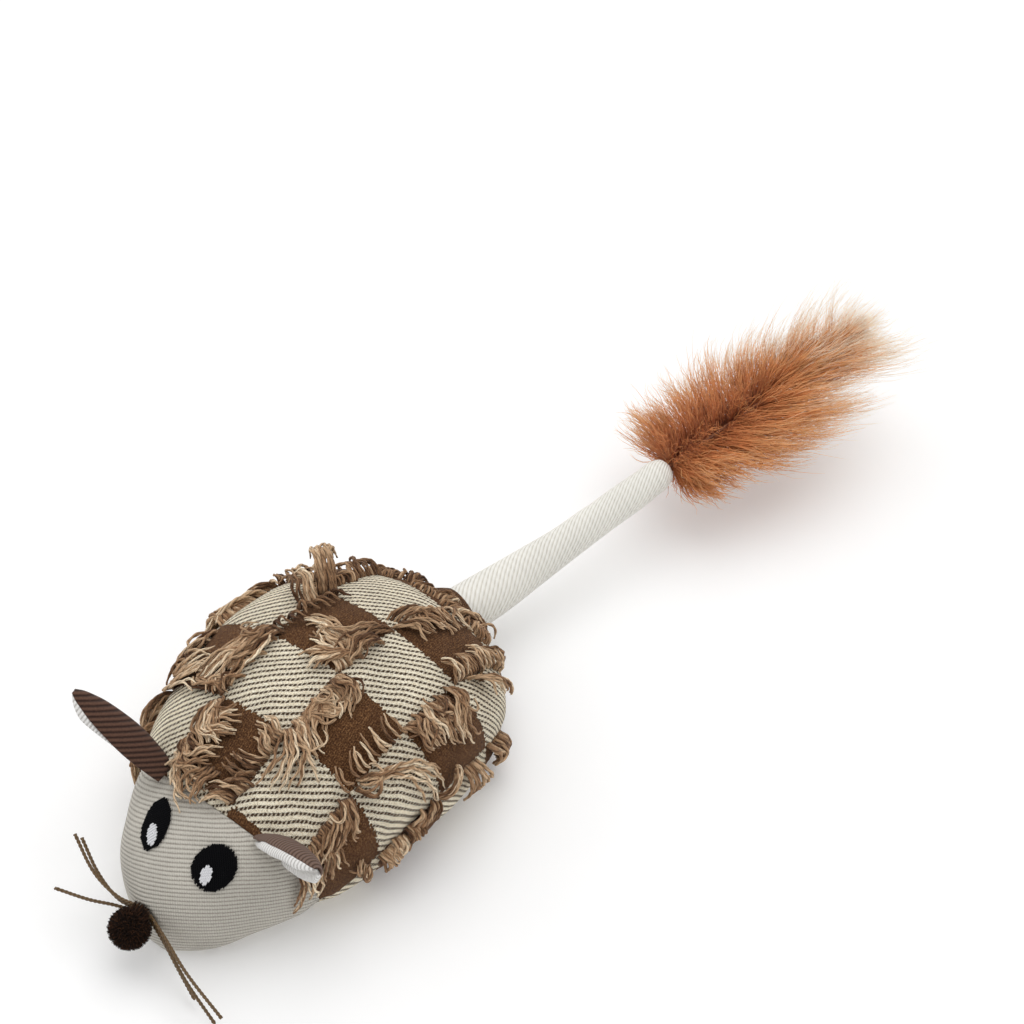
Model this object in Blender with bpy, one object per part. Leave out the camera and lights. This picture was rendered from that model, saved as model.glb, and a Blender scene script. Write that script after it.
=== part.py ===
"""A stuffed mouse whose tail is wagged by a geared motor unit in its belly.

Frame: metres, +Z up, the snout points to -Y and the tail to +Y, and the flat belly lies on z = 0.
The fabric covers are shells over stuffing. The motor unit sits in the belly behind a hook-and-loop flap,
and its train of gears swings a lever that carries the tail.
"""
import math

import bmesh
import bpy
import numpy as np
from mathutils import Vector

MM = 0.001
TURN = 2.0 * math.pi

# Stuffed form
BODY_LENGTH = 123 * MM
BODY_WIDTH = 79 * MM
BODY_HEIGHT = 47.5 * MM
SNOUT_Y = -62 * MM
BELLY_FLATTENING = 3 * MM
COVER_WALL = 1.2 * MM
FABRIC_GAP = 0.3 * MM
# Place along the body, width there and height there, as shares of the length, width and height.
BODY_FORM_SHARES = np.array((
    (0.000, 0.13, 0.36), (0.041, 0.35, 0.50), (0.138, 0.58, 0.67), (0.260, 0.785, 0.82), (0.382, 0.925, 0.925),
    (0.520, 1.000, 1.00), (0.667, 1.00, 1.00), (0.797, 0.90, 0.895), (0.894, 0.71, 0.735), (0.967, 0.38, 0.525),
    (1.000, 0.13, 0.38)))
MIDDLE_HEIGHT_SHARE = 0.42
SIDE_POWER, CROWN_POWER, BELLY_POWER = 0.95, 0.9, 0.6
BODY_SIDES = 32
SECTION_SAMPLES = 361
LEAN_PASSES = 5
COVER_RINGS = 12
FILL_RINGS = 10
HEAD_RINGS = 8
GUSSET_RINGS = 5

# Seam between head and body, leaning back under the chin
SEAM_PLACE_SHARE = 0.191
SEAM_HEIGHT_SHARE = 0.758
SEAM_LEAN_SHARE = 0.29
SEAM_GAP = 0.3 * MM
MOUTH_FROM_REAR = 5 * MM

# Face
FACE_SHIFT = 2 * MM
EYE_BEHIND_SNOUT = 14 * MM
EYE_ACROSS = 10 * MM
EYE_LENGTH = 11.5 * MM
EYE_WIDTH = 9.5 * MM
HIGHLIGHT_LENGTH = 4.6 * MM
HIGHLIGHT_WIDTH = 2.8 * MM
HIGHLIGHT_FORWARD = 2.2 * MM
EYE_THICKNESS = 0.5 * MM
POMPOM_RADIUS = 5.8 * MM
POMPOM_HEIGHT = 14 * MM
POMPOM_SEAT = 2.2 * MM
POMPOM_SIDES = 16
POMPOM_STEPS = 12
EYE_INNER_SHARE = 0.5
WHISKER_DIAMETER = 1.0 * MM
WHISKER_REACH = 33 * MM
WHISKER_STEPS = 17
WIRE_SIDES = 6
# Routes of the three threaded cords, as shares of their reach, from the floor under the snout.
WHISKER_ROUTE_SHARES = (
    ((-0.727, 0.021, 0.773), (-0.473, -0.067, 0.603), (-0.230, -0.076, 0.503), (0.0, -0.027, 0.476),
     (0.227, -0.079, 0.424), (0.576, -0.194, 0.352), (0.997, -0.282, 0.261)),
    ((-0.709, 0.064, 0.691), (-0.473, -0.027, 0.539), (-0.230, -0.067, 0.452), (0.0, -0.027, 0.430),
     (0.224, -0.079, 0.370), (0.561, -0.209, 0.273), (0.945, -0.309, 0.164)),
    ((-0.685, -0.297, 0.455), (-0.436, -0.194, 0.409), (-0.230, -0.088, 0.385), (0.0, -0.027, 0.385),
     (0.212, -0.073, 0.315), (0.424, -0.145, 0.206), (0.652, -0.221, 0.097)))

# Ears: one folded petal each, brown outside with a pale lining
EAR_LENGTH = 33 * MM
EAR_WIDTH = 14 * MM
EAR_WALL = 1.1 * MM
EAR_LINING_WALL = 0.8 * MM
EAR_ACROSS = 19 * MM
EAR_BEHIND_SEAM = 1.6 * MM
EAR_RIM = 0.5 * MM
EAR_ROOT = 3 * MM
EAR_SEAT = 0.5 * MM
EAR_FOLD = math.radians(66)
EAR_WIDTH_SHARES = ((0.0, 0.62), (0.18, 0.86), (0.42, 1.0), (0.66, 0.88), (0.85, 0.62), (0.96, 0.34),
                    (1.0, 0.16))
EAR_THINNING_SHARE = 0.6
EAR_SPREAD_SHARES = (-1.0, -0.6, -0.2, 0.2, 0.6, 1.0)
EAR_STEPS = 9
# Each side: which way the petal points and which way its hollow faces.
EAR_AIMS = {
    "right": (-1, Vector((-0.81, -0.12, 0.57)), Vector((-0.36, -0.61, -0.70))),
    "left": (1, Vector((0.76, -0.21, 0.61)), Vector((0.04, -0.94, -0.36)))}

# Chequered cover: squares of the weave, with a band of fringe on both long edges of each dark square
# Widths across the crown are shares of half the girth, which is taken as half the width and the height.
CHECK_ACROSS_SHARE = 0.2586
CHECK_LINE_SHARE = 0.0805
CHECK_BEHIND_SEAM = 3 * MM
CHECK_ROWS = 4
CHECK_LINES = range(-3, 3)
FRINGE_REACH_SHARE = 0.11
FRINGE_LOWEST_SHARE = 0.274
FRINGE_HEIGHT = 4.2 * MM
FRINGE_MARGIN = 0.6 * MM
FRINGE_START = 1.8 * MM
FRINGE_SEAT = 0.75 * MM
FRINGE_STATIONS_PER_ROW = 6
FRINGE_CLUMPS = 3
FRINGE_CLUMP_SHARE = 0.25
FRINGE_NARROW_SHARE = 0.4
FRINGE_SPREAD_SHARES = (-1.0, -0.35, 0.35, 1.0)
FRINGE_SWELL_SHARES = (0.3, 1.0, 0.9, 0.3)
FRINGE_TURN_SHARE = 3.0
REAR_FRINGE_LENGTH = 6.2 * MM
REAR_FRINGE_SPAN_SHARE = 0.287
REAR_FRINGE_HEIGHT = 3.2 * MM
REAR_FRINGE_GAP = 1.3 * MM
REAR_FRINGE_COLUMNS = 15
REAR_FRINGE_END_SHARE = 0.4

# Tail
PIVOT_FROM_REAR = 9 * MM
TAIL_AXIS_HEIGHT = 16 * MM
TAIL_LENGTH = 85 * MM
TAIL_RISE = 8 * MM
TAIL_REST = math.radians(13)
TAIL_SWING = math.radians(26)
TAIL_ROOT_RADIUS = 7.25 * MM
TAIL_ROOT_FROM_PIVOT = 8.8 * MM
TAIL_HOLE_RADIUS = 1.1 * MM
TAIL_WALL = 1.0 * MM
# Place along the sleeve and radius there, as shares of the tail length and the root radius.
TAIL_TAPER_SHARES = np.array(((0.10, 1.0), (0.22, 0.95), (0.40, 0.82), (0.56, 0.71), (0.72, 0.665), (0.90, 0.64),
                              (0.965, 0.58), (0.99, 0.40), (1.0, 0.155)))
TAIL_SIDES = 16
ROD_RADIUS = 1.25 * MM
ROD_END_GAP = 2 * MM
TAIL_FILL_SHARE = 0.9
SLEEVE_STATION_SHARES = (0.2, 0.32, 0.45, 0.6, 0.75, 0.9, 0.965, 0.99, 1.0)
TIP_START_SHARE = 0.95
ROD_SIDES = 10
ROD_STEPS = 9
TAIL_FILL_STEPS = 7
BORE_STEPS = 6
QUILL_STEPS = 4
ROD_SEAT = 5.2 * MM
QUILL_RADIUS = 0.8 * MM
QUILL_TIP_RADIUS = 0.3 * MM
QUILL_IN_TAIL = 17 * MM
PLUME_LENGTH = 84 * MM
PLUME_RISE = 9 * MM
PLUME_HALF_WIDTH = 23 * MM
PLUME_THICKNESS = 13 * MM
PLUME_FROM_TAIL = 2 * MM
QUILL_SHARE_OF_PLUME = 0.86
# Place along the plume, half width and thickness there, as shares of its length, half width and thickness.
PLUME_FORM_SHARES = np.array(((0.0, 0.22, 0.35), (0.08, 0.62, 0.7), (0.2, 0.9, 0.95), (0.38, 1.0, 1.0),
                              (0.58, 0.94, 0.92), (0.76, 0.76, 0.75), (0.9, 0.5, 0.5), (1.0, 0.18, 0.22)))
PLUME_SIDES = 12

# Gears: straight teeth of one module, all on upright axes along the centre line
MODULE = 0.6 * MM
PINION_TEETH = 10
WHEEL_TEETH = 30
SECTOR_TEETH_IN_FULL = 46
SECTOR_TEETH = 9
TOOTH_WIDTH_SHARE = 0.40
ADDENDUM_SHARE = 0.85
DEDENDUM_SHARE = 1.15
PRESSURE_ANGLE = math.radians(20)
WHEEL_FACE = 2.0 * MM
PINION_FACE = 3.2 * MM
MOTOR_PINION_FACE = 3.5 * MM
SECTOR_FACE = 2.2 * MM
PIN_RADIUS = 1.0 * MM
PIN_CLEARANCE = 0.15 * MM
TRAIN_GAP = 0.4 * MM
ROUND_SIDES = 20
SMALL_SIDES = 12

# Motor unit: a two-part moulded case
UNIT_WIDTH = 35 * MM
UNIT_BOTTOM = 3 * MM
UNIT_WALL = 1.4 * MM
UNIT_CORNER = 9 * MM
CORNER_STEPS = 5
LUG_STEPS = 10
SLOT_STEPS = 6
UNIT_HEIGHT = 25 * MM
CASE_SPLIT_HEIGHT = 12 * MM
CASE_GAP = 0.2 * MM
LUG_RADIUS = 5 * MM
LUG_THICKNESS = 1.8 * MM
HUB_RADIUS = 4 * MM
HUB_HALF_HEIGHT = 4 * MM
HUB_SIDE_GAP = 0.3 * MM
SECTOR_ABOVE_HUB_BOTTOM = 0.6 * MM
ROD_BOSS_RADIUS = 3.2 * MM
ROD_BOSS_END = 10.4 * MM
PIVOT_RADIUS = 1.2 * MM
PIVOT_PIN_SHARE = 0.8
OVERRUN = 1 * MM
SECTOR_WINDOW_CLEARANCE = 1.0 * MM

# What the unit holds
MOTOR_WIDTH = 12 * MM
MOTOR_DEPTH = 10 * MM
MOTOR_HEIGHT = 15 * MM
MOTOR_SHAFT_RADIUS = 0.75 * MM
BATTERY_RADIUS = 6 * MM
BATTERY_LENGTH = 28 * MM
BATTERY_GAP = 0.9 * MM
POST_RADIUS = 3.0 * MM
UPPER_POST_RADIUS = 2.3 * MM
SCREW_RADIUS = 0.9 * MM
SCREW_HEAD_RADIUS = 2.1 * MM
SCREW_HEAD_HEIGHT = 1.0 * MM
SCREW_LENGTH = 14 * MM
SCREW_SINK = 0.2 * MM
SCREW_PILOT_GAP = 0.25 * MM
REAR_POST_ACROSS = 13.2 * MM
REAR_POST_AHEAD = 12 * MM
BOARD_HEIGHT = 8.5 * MM
BOARD_THICKNESS = 1.2 * MM
BOARD_HALF_WIDTH = 13.2 * MM
BOARD_LENGTH = 18.4 * MM
BOARD_FROM_MOTOR = 2 * MM
BOSS_RADIUS = 2.4 * MM
UPPER_BOSS_RADIUS = 1.9 * MM
BOARD_HOLE_RADIUS = 2.8 * MM
BOARD_RAIL_WIDTH = 1.2 * MM
PART_GAP = 0.3 * MM
BUTTON_ACROSS = 7.2 * MM
BUTTON_RADIUS = 3 * MM
BUTTON_PROUD = 0.4 * MM
BUTTON_FLANGE = 0.9 * MM
BUTTON_FLANGE_HEIGHT = 0.6 * MM
BUTTON_TRAVEL = 0.5 * MM
SWITCH_SIZE = 6 * MM
SWITCH_HEIGHT = 1.6 * MM
PLUNGER_RADIUS = 1.5 * MM
SOCKET_WIDTH = 3.2 * MM
SOCKET_LENGTH = 9 * MM
SOCKET_WALL = 0.4 * MM
LAMP_RADIUS = 1.5 * MM
SENSOR_RADIUS = 2 * MM
SENSOR_HEIGHT = 7 * MM
SENSOR_ACROSS = 8 * MM
SENSOR_BEHIND_BOARD_FRONT = 4 * MM
LEAD_RADIUS = 0.5 * MM
LEAD_PITCH = 1.5 * MM
LEAD_STEPS = 8

# Belly opening, its flap and the hook-and-loop closure
OPENING_LENGTH = 37.7 * MM
OPENING_WIDTH = 35.2 * MM
OPENING_BEHIND_UNIT = 0.9 * MM
FLAP_THICKNESS = 1.0 * MM
FLAP_EDGE_GAP = 0.3 * MM
TAPE_THICKNESS = 0.6 * MM
TAPE_LENGTH = 6 * MM
TAPE_WIDTH = 30 * MM
TAPE_GAP = 0.2 * MM
TAB_SEWN_LENGTH = 6 * MM

# Places that follow from the sizes above
REAR_Y = SNOUT_Y + BODY_LENGTH
SEAM_TOP_Y = SNOUT_Y + BODY_LENGTH * SEAM_PLACE_SHARE
SEAM_TOP_Z = BODY_HEIGHT * SEAM_HEIGHT_SHARE
MOUTH_Y = REAR_Y - MOUTH_FROM_REAR
PIVOT_Y = REAR_Y - PIVOT_FROM_REAR
EYE_Y = SNOUT_Y + EYE_BEHIND_SNOUT
HALF_GIRTH = BODY_WIDTH / 2 + BODY_HEIGHT
CHECK_ACROSS = HALF_GIRTH * CHECK_ACROSS_SHARE
CHECK_LINE_ACROSS = HALF_GIRTH * CHECK_LINE_SHARE
CHECK_START_Y = SEAM_TOP_Y + CHECK_BEHIND_SEAM
CHECK_LENGTH = (MOUTH_Y - REAR_FRINGE_LENGTH - REAR_FRINGE_GAP - CHECK_START_Y) / CHECK_ROWS
FRINGE_REACH = HALF_GIRTH * FRINGE_REACH_SHARE
FRINGE_LOWEST = BODY_HEIGHT * FRINGE_LOWEST_SHARE
REAR_FRINGE_HALF_SPAN = HALF_GIRTH * REAR_FRINGE_SPAN_SHARE
ROD_END = TAIL_LENGTH - QUILL_IN_TAIL - ROD_END_GAP
PINION_PITCH_RADIUS = MODULE * PINION_TEETH / 2
WHEEL_PITCH_RADIUS = MODULE * WHEEL_TEETH / 2
SECTOR_PITCH_RADIUS = MODULE * SECTOR_TEETH_IN_FULL / 2
ADDENDUM = MODULE * ADDENDUM_SHARE
WHEEL_TIP_RADIUS = WHEEL_PITCH_RADIUS + ADDENDUM
GEAR_2_Y = PIVOT_Y - SECTOR_PITCH_RADIUS - PINION_PITCH_RADIUS
GEAR_1_Y = GEAR_2_Y - WHEEL_PITCH_RADIUS - PINION_PITCH_RADIUS
MOTOR_Y = GEAR_1_Y - WHEEL_PITCH_RADIUS - PINION_PITCH_RADIUS
HUB_BOTTOM = TAIL_AXIS_HEIGHT - HUB_HALF_HEIGHT
HUB_TOP = TAIL_AXIS_HEIGHT + HUB_HALF_HEIGHT
SECTOR_BOTTOM = HUB_BOTTOM + SECTOR_ABOVE_HUB_BOTTOM
FLOOR_TOP = UNIT_BOTTOM + UNIT_WALL
UNIT_TOP = UNIT_BOTTOM + UNIT_HEIGHT
ROOF_BOTTOM = UNIT_TOP - UNIT_WALL
MOTOR_BOTTOM = FLOOR_TOP + PART_GAP
MOTOR_TOP = MOTOR_BOTTOM + MOTOR_HEIGHT
MOTOR_PINION_BOTTOM = MOTOR_TOP + 2 * TRAIN_GAP
GEAR_1_WHEEL_BOTTOM = MOTOR_PINION_BOTTOM + TRAIN_GAP
GEAR_1_PINION_BOTTOM = GEAR_1_WHEEL_BOTTOM - PINION_FACE
GEAR_2_WHEEL_BOTTOM = GEAR_1_PINION_BOTTOM + TRAIN_GAP
GEAR_2_PINION_BOTTOM = SECTOR_BOTTOM - TRAIN_GAP
UNIT_REAR_Y = GEAR_2_Y + WHEEL_TIP_RADIUS + PART_GAP + UNIT_WALL
BATTERY_Y = MOTOR_Y - MOTOR_DEPTH / 2 - BATTERY_GAP - BATTERY_RADIUS
FRONT_POST_Y = BATTERY_Y - BATTERY_RADIUS - PART_GAP - POST_RADIUS
UNIT_FRONT_Y = FRONT_POST_Y - POST_RADIUS - UNIT_WALL
REAR_POST_Y = PIVOT_Y - REAR_POST_AHEAD
POSTS = ((0.0, FRONT_POST_Y), (REAR_POST_ACROSS, REAR_POST_Y), (-REAR_POST_ACROSS, REAR_POST_Y))
BOARD_FRONT_Y = MOTOR_Y + MOTOR_DEPTH / 2 + BOARD_FROM_MOTOR
BOARD_MIDDLE_Y = (GEAR_1_Y + GEAR_2_Y) / 2
OPENING_REAR_Y = UNIT_REAR_Y + OPENING_BEHIND_UNIT
OPENING_FRONT_Y = OPENING_REAR_Y - OPENING_LENGTH

RATIO_SECTOR = SECTOR_TEETH_IN_FULL / PINION_TEETH
RATIO_STAGE = WHEEL_TEETH / PINION_TEETH


# Materials and objects

# Colour, roughness and, for metals, metallic share.
PAINTS = {
    "knit": ((0.52, 0.49, 0.44), 0.95), "weave": ((0.42, 0.33, 0.24), 0.95), "yarn": ((0.40, 0.28, 0.18), 0.95),
    "stuffing": ((0.92, 0.92, 0.90), 1.0), "black_stitch": ((0.012, 0.012, 0.015), 0.8),
    "white_stitch": ((0.85, 0.85, 0.88), 0.8), "pompom": ((0.055, 0.028, 0.018), 0.95),
    "cord": ((0.16, 0.09, 0.035), 0.6), "ear_brown": ((0.13, 0.085, 0.065), 0.95),
    "ear_pale": ((0.80, 0.78, 0.74), 0.95), "tail": ((0.80, 0.78, 0.72), 0.95), "rod": ((0.85, 0.85, 0.82), 0.5),
    "quill": ((0.33, 0.12, 0.05), 0.6), "vane": ((0.45, 0.20, 0.09), 0.9), "case": ((0.10, 0.10, 0.11), 0.45),
    "gear": ((0.88, 0.87, 0.83), 0.45), "lever": ((0.15, 0.15, 0.16), 0.5), "steel": ((0.60, 0.60, 0.62), 0.3, 1.0),
    "brass": ((0.72, 0.53, 0.22), 0.35, 1.0), "board": ((0.02, 0.22, 0.08), 0.5), "cell": ((0.10, 0.25, 0.60), 0.4),
    "switch": ((0.50, 0.50, 0.50), 0.5), "button": ((0.75, 0.12, 0.08), 0.4), "lamp": ((0.90, 0.90, 0.90), 0.2),
    "red_lead": ((0.60, 0.03, 0.03), 0.4), "black_lead": ((0.03, 0.03, 0.03), 0.4),
    "flap": ((0.30, 0.24, 0.19), 0.95), "hook": ((0.06, 0.05, 0.05), 0.9), "loop": ((0.09, 0.08, 0.07), 0.95)}

def material(name, colour, roughness, metallic=0.0):
    made = bpy.data.materials.new(name)
    made.use_nodes = True
    shader = made.node_tree.nodes["Principled BSDF"]
    shader.inputs["Base Color"].default_value = (*colour, 1.0)
    shader.inputs["Roughness"].default_value = roughness
    shader.inputs["Metallic"].default_value = metallic
    return made


def finish(name, mesh, paint, origin=(0.0, 0.0, 0.0), turn=0.0):
    """Turn the faces outward, set the origin and link the object with its material."""
    if mesh.calc_volume(signed=True) < 0:
        bmesh.ops.reverse_faces(mesh, faces=mesh.faces)
    bmesh.ops.translate(mesh, verts=mesh.verts, vec=-Vector(origin))
    data = bpy.data.meshes.new(name)
    mesh.to_mesh(data)
    mesh.free()
    data.shade_smooth()
    data.set_sharp_from_angle(angle=math.radians(40))
    made = bpy.data.objects.new(name, data)
    made.location = origin
    made.rotation_euler.z = turn
    if paint is None:
        made.hide_render = True
        made.display_type = "WIRE"
    else:
        data.materials.append(material(name, *paint))
    bpy.context.scene.collection.objects.link(made)
    return made


def boolean(target, other, operation):
    step = target.modifiers.new(other.name, "BOOLEAN")
    step.operation = operation
    step.solver = "EXACT"
    step.object = other


def cut(target, *cutters):
    for cutter in cutters:
        boolean(target, cutter, "DIFFERENCE")


def join(target, *others):
    for other in others:
        boolean(target, other, "UNION")


# Solids built from rings, sheets and outlines

def ring_mesh(rings, loop=False):
    """Join rings of equal count into a closed solid; a loop joins the last ring to the first."""
    mesh = bmesh.new()
    rows = [[mesh.verts.new(point) for point in ring] for ring in rings]
    count = len(rows[0])
    pairs = list(zip(rows, rows[1:])) + ([(rows[-1], rows[0])] if loop else [])
    for first, second in pairs:
        for i in range(count):
            j = (i + 1) % count
            mesh.faces.new((first[i], first[j], second[j], second[i]))
    if not loop:
        for row, ring, flip in ((rows[0], rings[0], True), (rows[-1], rings[-1], False)):
            centre = mesh.verts.new(np.mean(ring, axis=0))
            for i in range(count):
                edge = (row[i], row[(i + 1) % count])
                mesh.faces.new((centre, *(edge[::-1] if flip else edge)))
    return mesh


def prism_mesh(outline, bottom, top):
    """Stand an outline of (x, y) points up between two heights."""
    mesh = bmesh.new()
    lower = [mesh.verts.new((x, y, bottom)) for x, y in outline]
    upper = [mesh.verts.new((x, y, top)) for x, y in outline]
    count = len(outline)
    for i in range(count):
        j = (i + 1) % count
        mesh.faces.new((lower[i], lower[j], upper[j], upper[i]))
    mesh.faces.new(lower[::-1])
    mesh.faces.new(upper)
    return mesh


def sheet_mesh(top, bottom):
    """Close two facing grids of points into one thin solid."""
    mesh = bmesh.new()
    rows, columns = top.shape[:2]
    upper = [[mesh.verts.new(top[i, j]) for j in range(columns)] for i in range(rows)]
    lower = [[mesh.verts.new(bottom[i, j]) for j in range(columns)] for i in range(rows)]
    for i in range(rows - 1):
        for j in range(columns - 1):
            mesh.faces.new((upper[i][j], upper[i + 1][j], upper[i + 1][j + 1], upper[i][j + 1]))
            mesh.faces.new((lower[i][j], lower[i][j + 1], lower[i + 1][j + 1], lower[i + 1][j]))
    for i in range(rows - 1):
        for j, first, second in ((0, i + 1, i), (columns - 1, i, i + 1)):
            mesh.faces.new((upper[first][j], upper[second][j], lower[second][j], lower[first][j]))
    for j in range(columns - 1):
        for i, first, second in ((0, j, j + 1), (rows - 1, j + 1, j)):
            mesh.faces.new((upper[i][first], upper[i][second], lower[i][second], lower[i][first]))
    return mesh


def circle(radius, sides, centre=(0.0, 0.0)):
    return [(centre[0] + radius * math.cos(TURN * i / sides), centre[1] + radius * math.sin(TURN * i / sides))
            for i in range(sides)]


def cylinder(name, radius, bottom, top, centre, paint=None, sides=ROUND_SIDES):
    mesh = prism_mesh(circle(radius, sides, centre), bottom, top)
    return finish(name, mesh, paint, (*centre, bottom))


def bore(name, radius, bottom, top, centre):
    """Cutter for a narrow round hole."""
    return cylinder(name, radius, bottom, top, centre, sides=SMALL_SIDES)


def box(name, low, high, paint=None):
    outline = ((low[0], low[1]), (high[0], low[1]), (high[0], high[1]), (low[0], high[1]))
    return finish(name, prism_mesh(outline, low[2], high[2]), paint, low)


def smooth_curve(x, places, values):
    """Hermite curve through (place, value) rows, with slopes taken from the neighbours."""
    slopes = np.gradient(values, places)
    i = np.clip(np.searchsorted(places, x) - 1, 0, len(places) - 2)
    span = places[i + 1] - places[i]
    t = np.clip((x - places[i]) / span, 0.0, 1.0)
    return ((2 * t**3 - 3 * t**2 + 1) * values[i] + (t**3 - 2 * t**2 + t) * span * slopes[i]
            + (3 * t**2 - 2 * t**3) * values[i + 1] + (t**3 - t**2) * span * slopes[i + 1])


# The stuffed form and places on its surface

def body_point(y, angle, inset):
    """Points of the section at y, at angles from +X towards the crown, drawn in by the inset."""
    share = (y - SNOUT_Y) / BODY_LENGTH
    half = BODY_WIDTH / 2 * smooth_curve(share, BODY_FORM_SHARES[:, 0], BODY_FORM_SHARES[:, 1]) - inset
    high = BODY_HEIGHT * smooth_curve(share, BODY_FORM_SHARES[:, 0], BODY_FORM_SHARES[:, 2])
    middle = MIDDLE_HEIGHT_SHARE * high
    across, rise = np.cos(angle), np.sin(angle)
    x = half * np.sign(across) * np.abs(across) ** SIDE_POWER
    upper = middle + (high - inset - middle) * np.abs(rise) ** CROWN_POWER
    lower = middle - (middle + BELLY_FLATTENING - inset) * np.abs(rise) ** BELLY_POWER
    z = np.where(rise > 0, upper, np.maximum(lower, inset))
    return np.stack([x, y + 0 * z, z], axis=-1)


def body_ring(y, inset, lean=0.0):
    """One ring round the body. With a lean, points below the seam's top lie further back."""
    angle = TURN * np.arange(BODY_SIDES) / BODY_SIDES
    places = np.full(BODY_SIDES, float(y))
    for _ in range(LEAN_PASSES):
        height = body_point(places, angle, inset)[:, 2]
        places = y + lean * (SEAM_TOP_Z - height)
    return body_point(places, angle, inset)


def body_rings(start, end, inset, start_lean, end_lean, count):
    places, leans = np.linspace(start, end, count), np.linspace(start_lean, end_lean, count)
    return [body_ring(place, inset, lean) for place, lean in zip(places, leans)]


def surface_point(y, across, lift):
    """Point on the cover at y and at a distance across it from the crown, raised by the lift."""
    angle = np.linspace(TURN / 4, -TURN / 4, SECTION_SAMPLES)
    section = body_point(np.full(angle.shape, y), angle, -lift)
    steps = np.linalg.norm(np.diff(section, axis=0), axis=1)
    along = np.concatenate([[0.0], np.cumsum(steps)])
    point = np.array([np.interp(abs(across), along, section[:, k]) for k in range(3)])
    point[0] *= 1.0 if across >= 0 else -1.0
    return point


def surface_grid(places, swells):
    """Grids over (y, across) places: the lower just clear of the cover, the upper swelling above it."""
    top = np.array([[surface_point(*place, FRINGE_SEAT + swell) for place, swell in zip(row, heights)]
                    for row, heights in zip(places, swells)])
    bottom = np.array([[surface_point(*place, FRINGE_SEAT) for place in row] for row in places])
    return top, bottom


# Covers and stuffing

def make_head():
    front, back = SNOUT_Y, SEAM_TOP_Y - SEAM_GAP / 2
    outer = body_rings(front, back, 0.0, 0.0, SEAM_LEAN_SHARE, HEAD_RINGS)
    inner = body_rings(front + COVER_WALL, back, COVER_WALL, 0.0, SEAM_LEAN_SHARE, HEAD_RINGS)
    finish("head_cover", ring_mesh(outer + inner[::-1]), PAINTS["knit"])
    inset = COVER_WALL + FABRIC_GAP
    fill = body_rings(front + inset, back - SEAM_GAP / 2, inset, 0.0, SEAM_LEAN_SHARE, HEAD_RINGS - 1)
    return finish("head_stuffing", ring_mesh(fill), PAINTS["stuffing"])


def tail_sweep_outline(reach, half_width):
    """Plan of everything a bar of this half width covers as it swings about the tail pivot."""
    points = []
    for side in (-1, 1):
        angle = side * TAIL_SWING
        along = Vector((math.sin(angle), math.cos(angle)))
        beside = Vector((math.cos(angle), -math.sin(angle))) * side * half_width
        start, end = beside - along * half_width, beside + along * reach
        points += [end, start] if side < 0 else [start, end]
    return [(p.x, PIVOT_Y + p.y) for p in points]


def unit_outline(grow):
    """Rounded rectangle of the motor unit in plan, grown on all sides."""
    corner = UNIT_CORNER + grow
    x_mid = UNIT_WIDTH / 2 - UNIT_CORNER
    y_low, y_high = UNIT_FRONT_Y + UNIT_CORNER, UNIT_REAR_Y - UNIT_CORNER
    outline = []
    for quarter, (x, y) in enumerate(((x_mid, y_high), (-x_mid, y_high), (-x_mid, y_low), (x_mid, y_low))):
        for step in range(CORNER_STEPS + 1):
            angle = TURN / 4 * (quarter + step / CORNER_STEPS)
            outline.append((x + corner * math.cos(angle), y + corner * math.sin(angle)))
    return outline


def lug_outline(grow):
    """Tongue behind the unit, round about the tail pivot."""
    radius = LUG_RADIUS + grow
    front = UNIT_REAR_Y - UNIT_WALL / 2
    angles = [TURN / 2 * step / LUG_STEPS for step in range(LUG_STEPS + 1)]
    arc = [(radius * math.cos(angle), PIVOT_Y + radius * math.sin(angle)) for angle in angles]
    return [(radius, front)] + arc + [(-radius, front)]


def make_body(head_stuffing):
    """Cover with its belly opening, and the stuffing about the motor unit."""
    outer = body_rings(SEAM_TOP_Y + SEAM_GAP / 2, MOUTH_Y, 0.0, SEAM_LEAN_SHARE, 0.0, COVER_RINGS)
    inner = body_rings(SEAM_TOP_Y + SEAM_GAP / 2, MOUTH_Y, COVER_WALL, SEAM_LEAN_SHARE, 0.0, COVER_RINGS)
    cover = finish("body_cover", ring_mesh(outer + inner[::-1], loop=True), PAINTS["weave"])
    cut(cover, box("belly_opening_cutter", (-OPENING_WIDTH / 2, OPENING_FRONT_Y, -OVERRUN),
                   (OPENING_WIDTH / 2, OPENING_REAR_Y, COVER_WALL + OVERRUN)))
    inset = COVER_WALL + FABRIC_GAP
    fill = body_rings(SEAM_TOP_Y + SEAM_GAP, UNIT_REAR_Y + UNIT_WALL, inset, SEAM_LEAN_SHARE, 0.0, FILL_RINGS)
    stuffing = finish("body_stuffing", ring_mesh(fill), PAINTS["stuffing"])
    cavity = prism_mesh(unit_outline(FABRIC_GAP), -OVERRUN, UNIT_TOP + FABRIC_GAP)
    tongue = prism_mesh(lug_outline(FABRIC_GAP), -OVERRUN, HUB_TOP + LUG_THICKNESS + 2 * FABRIC_GAP)
    sweep = prism_mesh(sweep_window(OVERRUN), -OVERRUN, HUB_TOP + FABRIC_GAP)
    cavity = finish("unit_cavity_cutter", cavity, None)
    cut(stuffing, cavity, finish("tongue_cavity_cutter", tongue, None),
        finish("sweep_cavity_cutter", sweep, None))
    cut(head_stuffing, cavity)


def sweep_window(grow):
    """Plan of the opening in the case's rear wall that the sector swings through."""
    half = sector_window_half_width() + grow
    front, back = UNIT_REAR_Y - 2 * UNIT_WALL, UNIT_REAR_Y + 2 * UNIT_WALL
    return ((-half, front), (half, front), (half, back), (-half, back))


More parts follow.
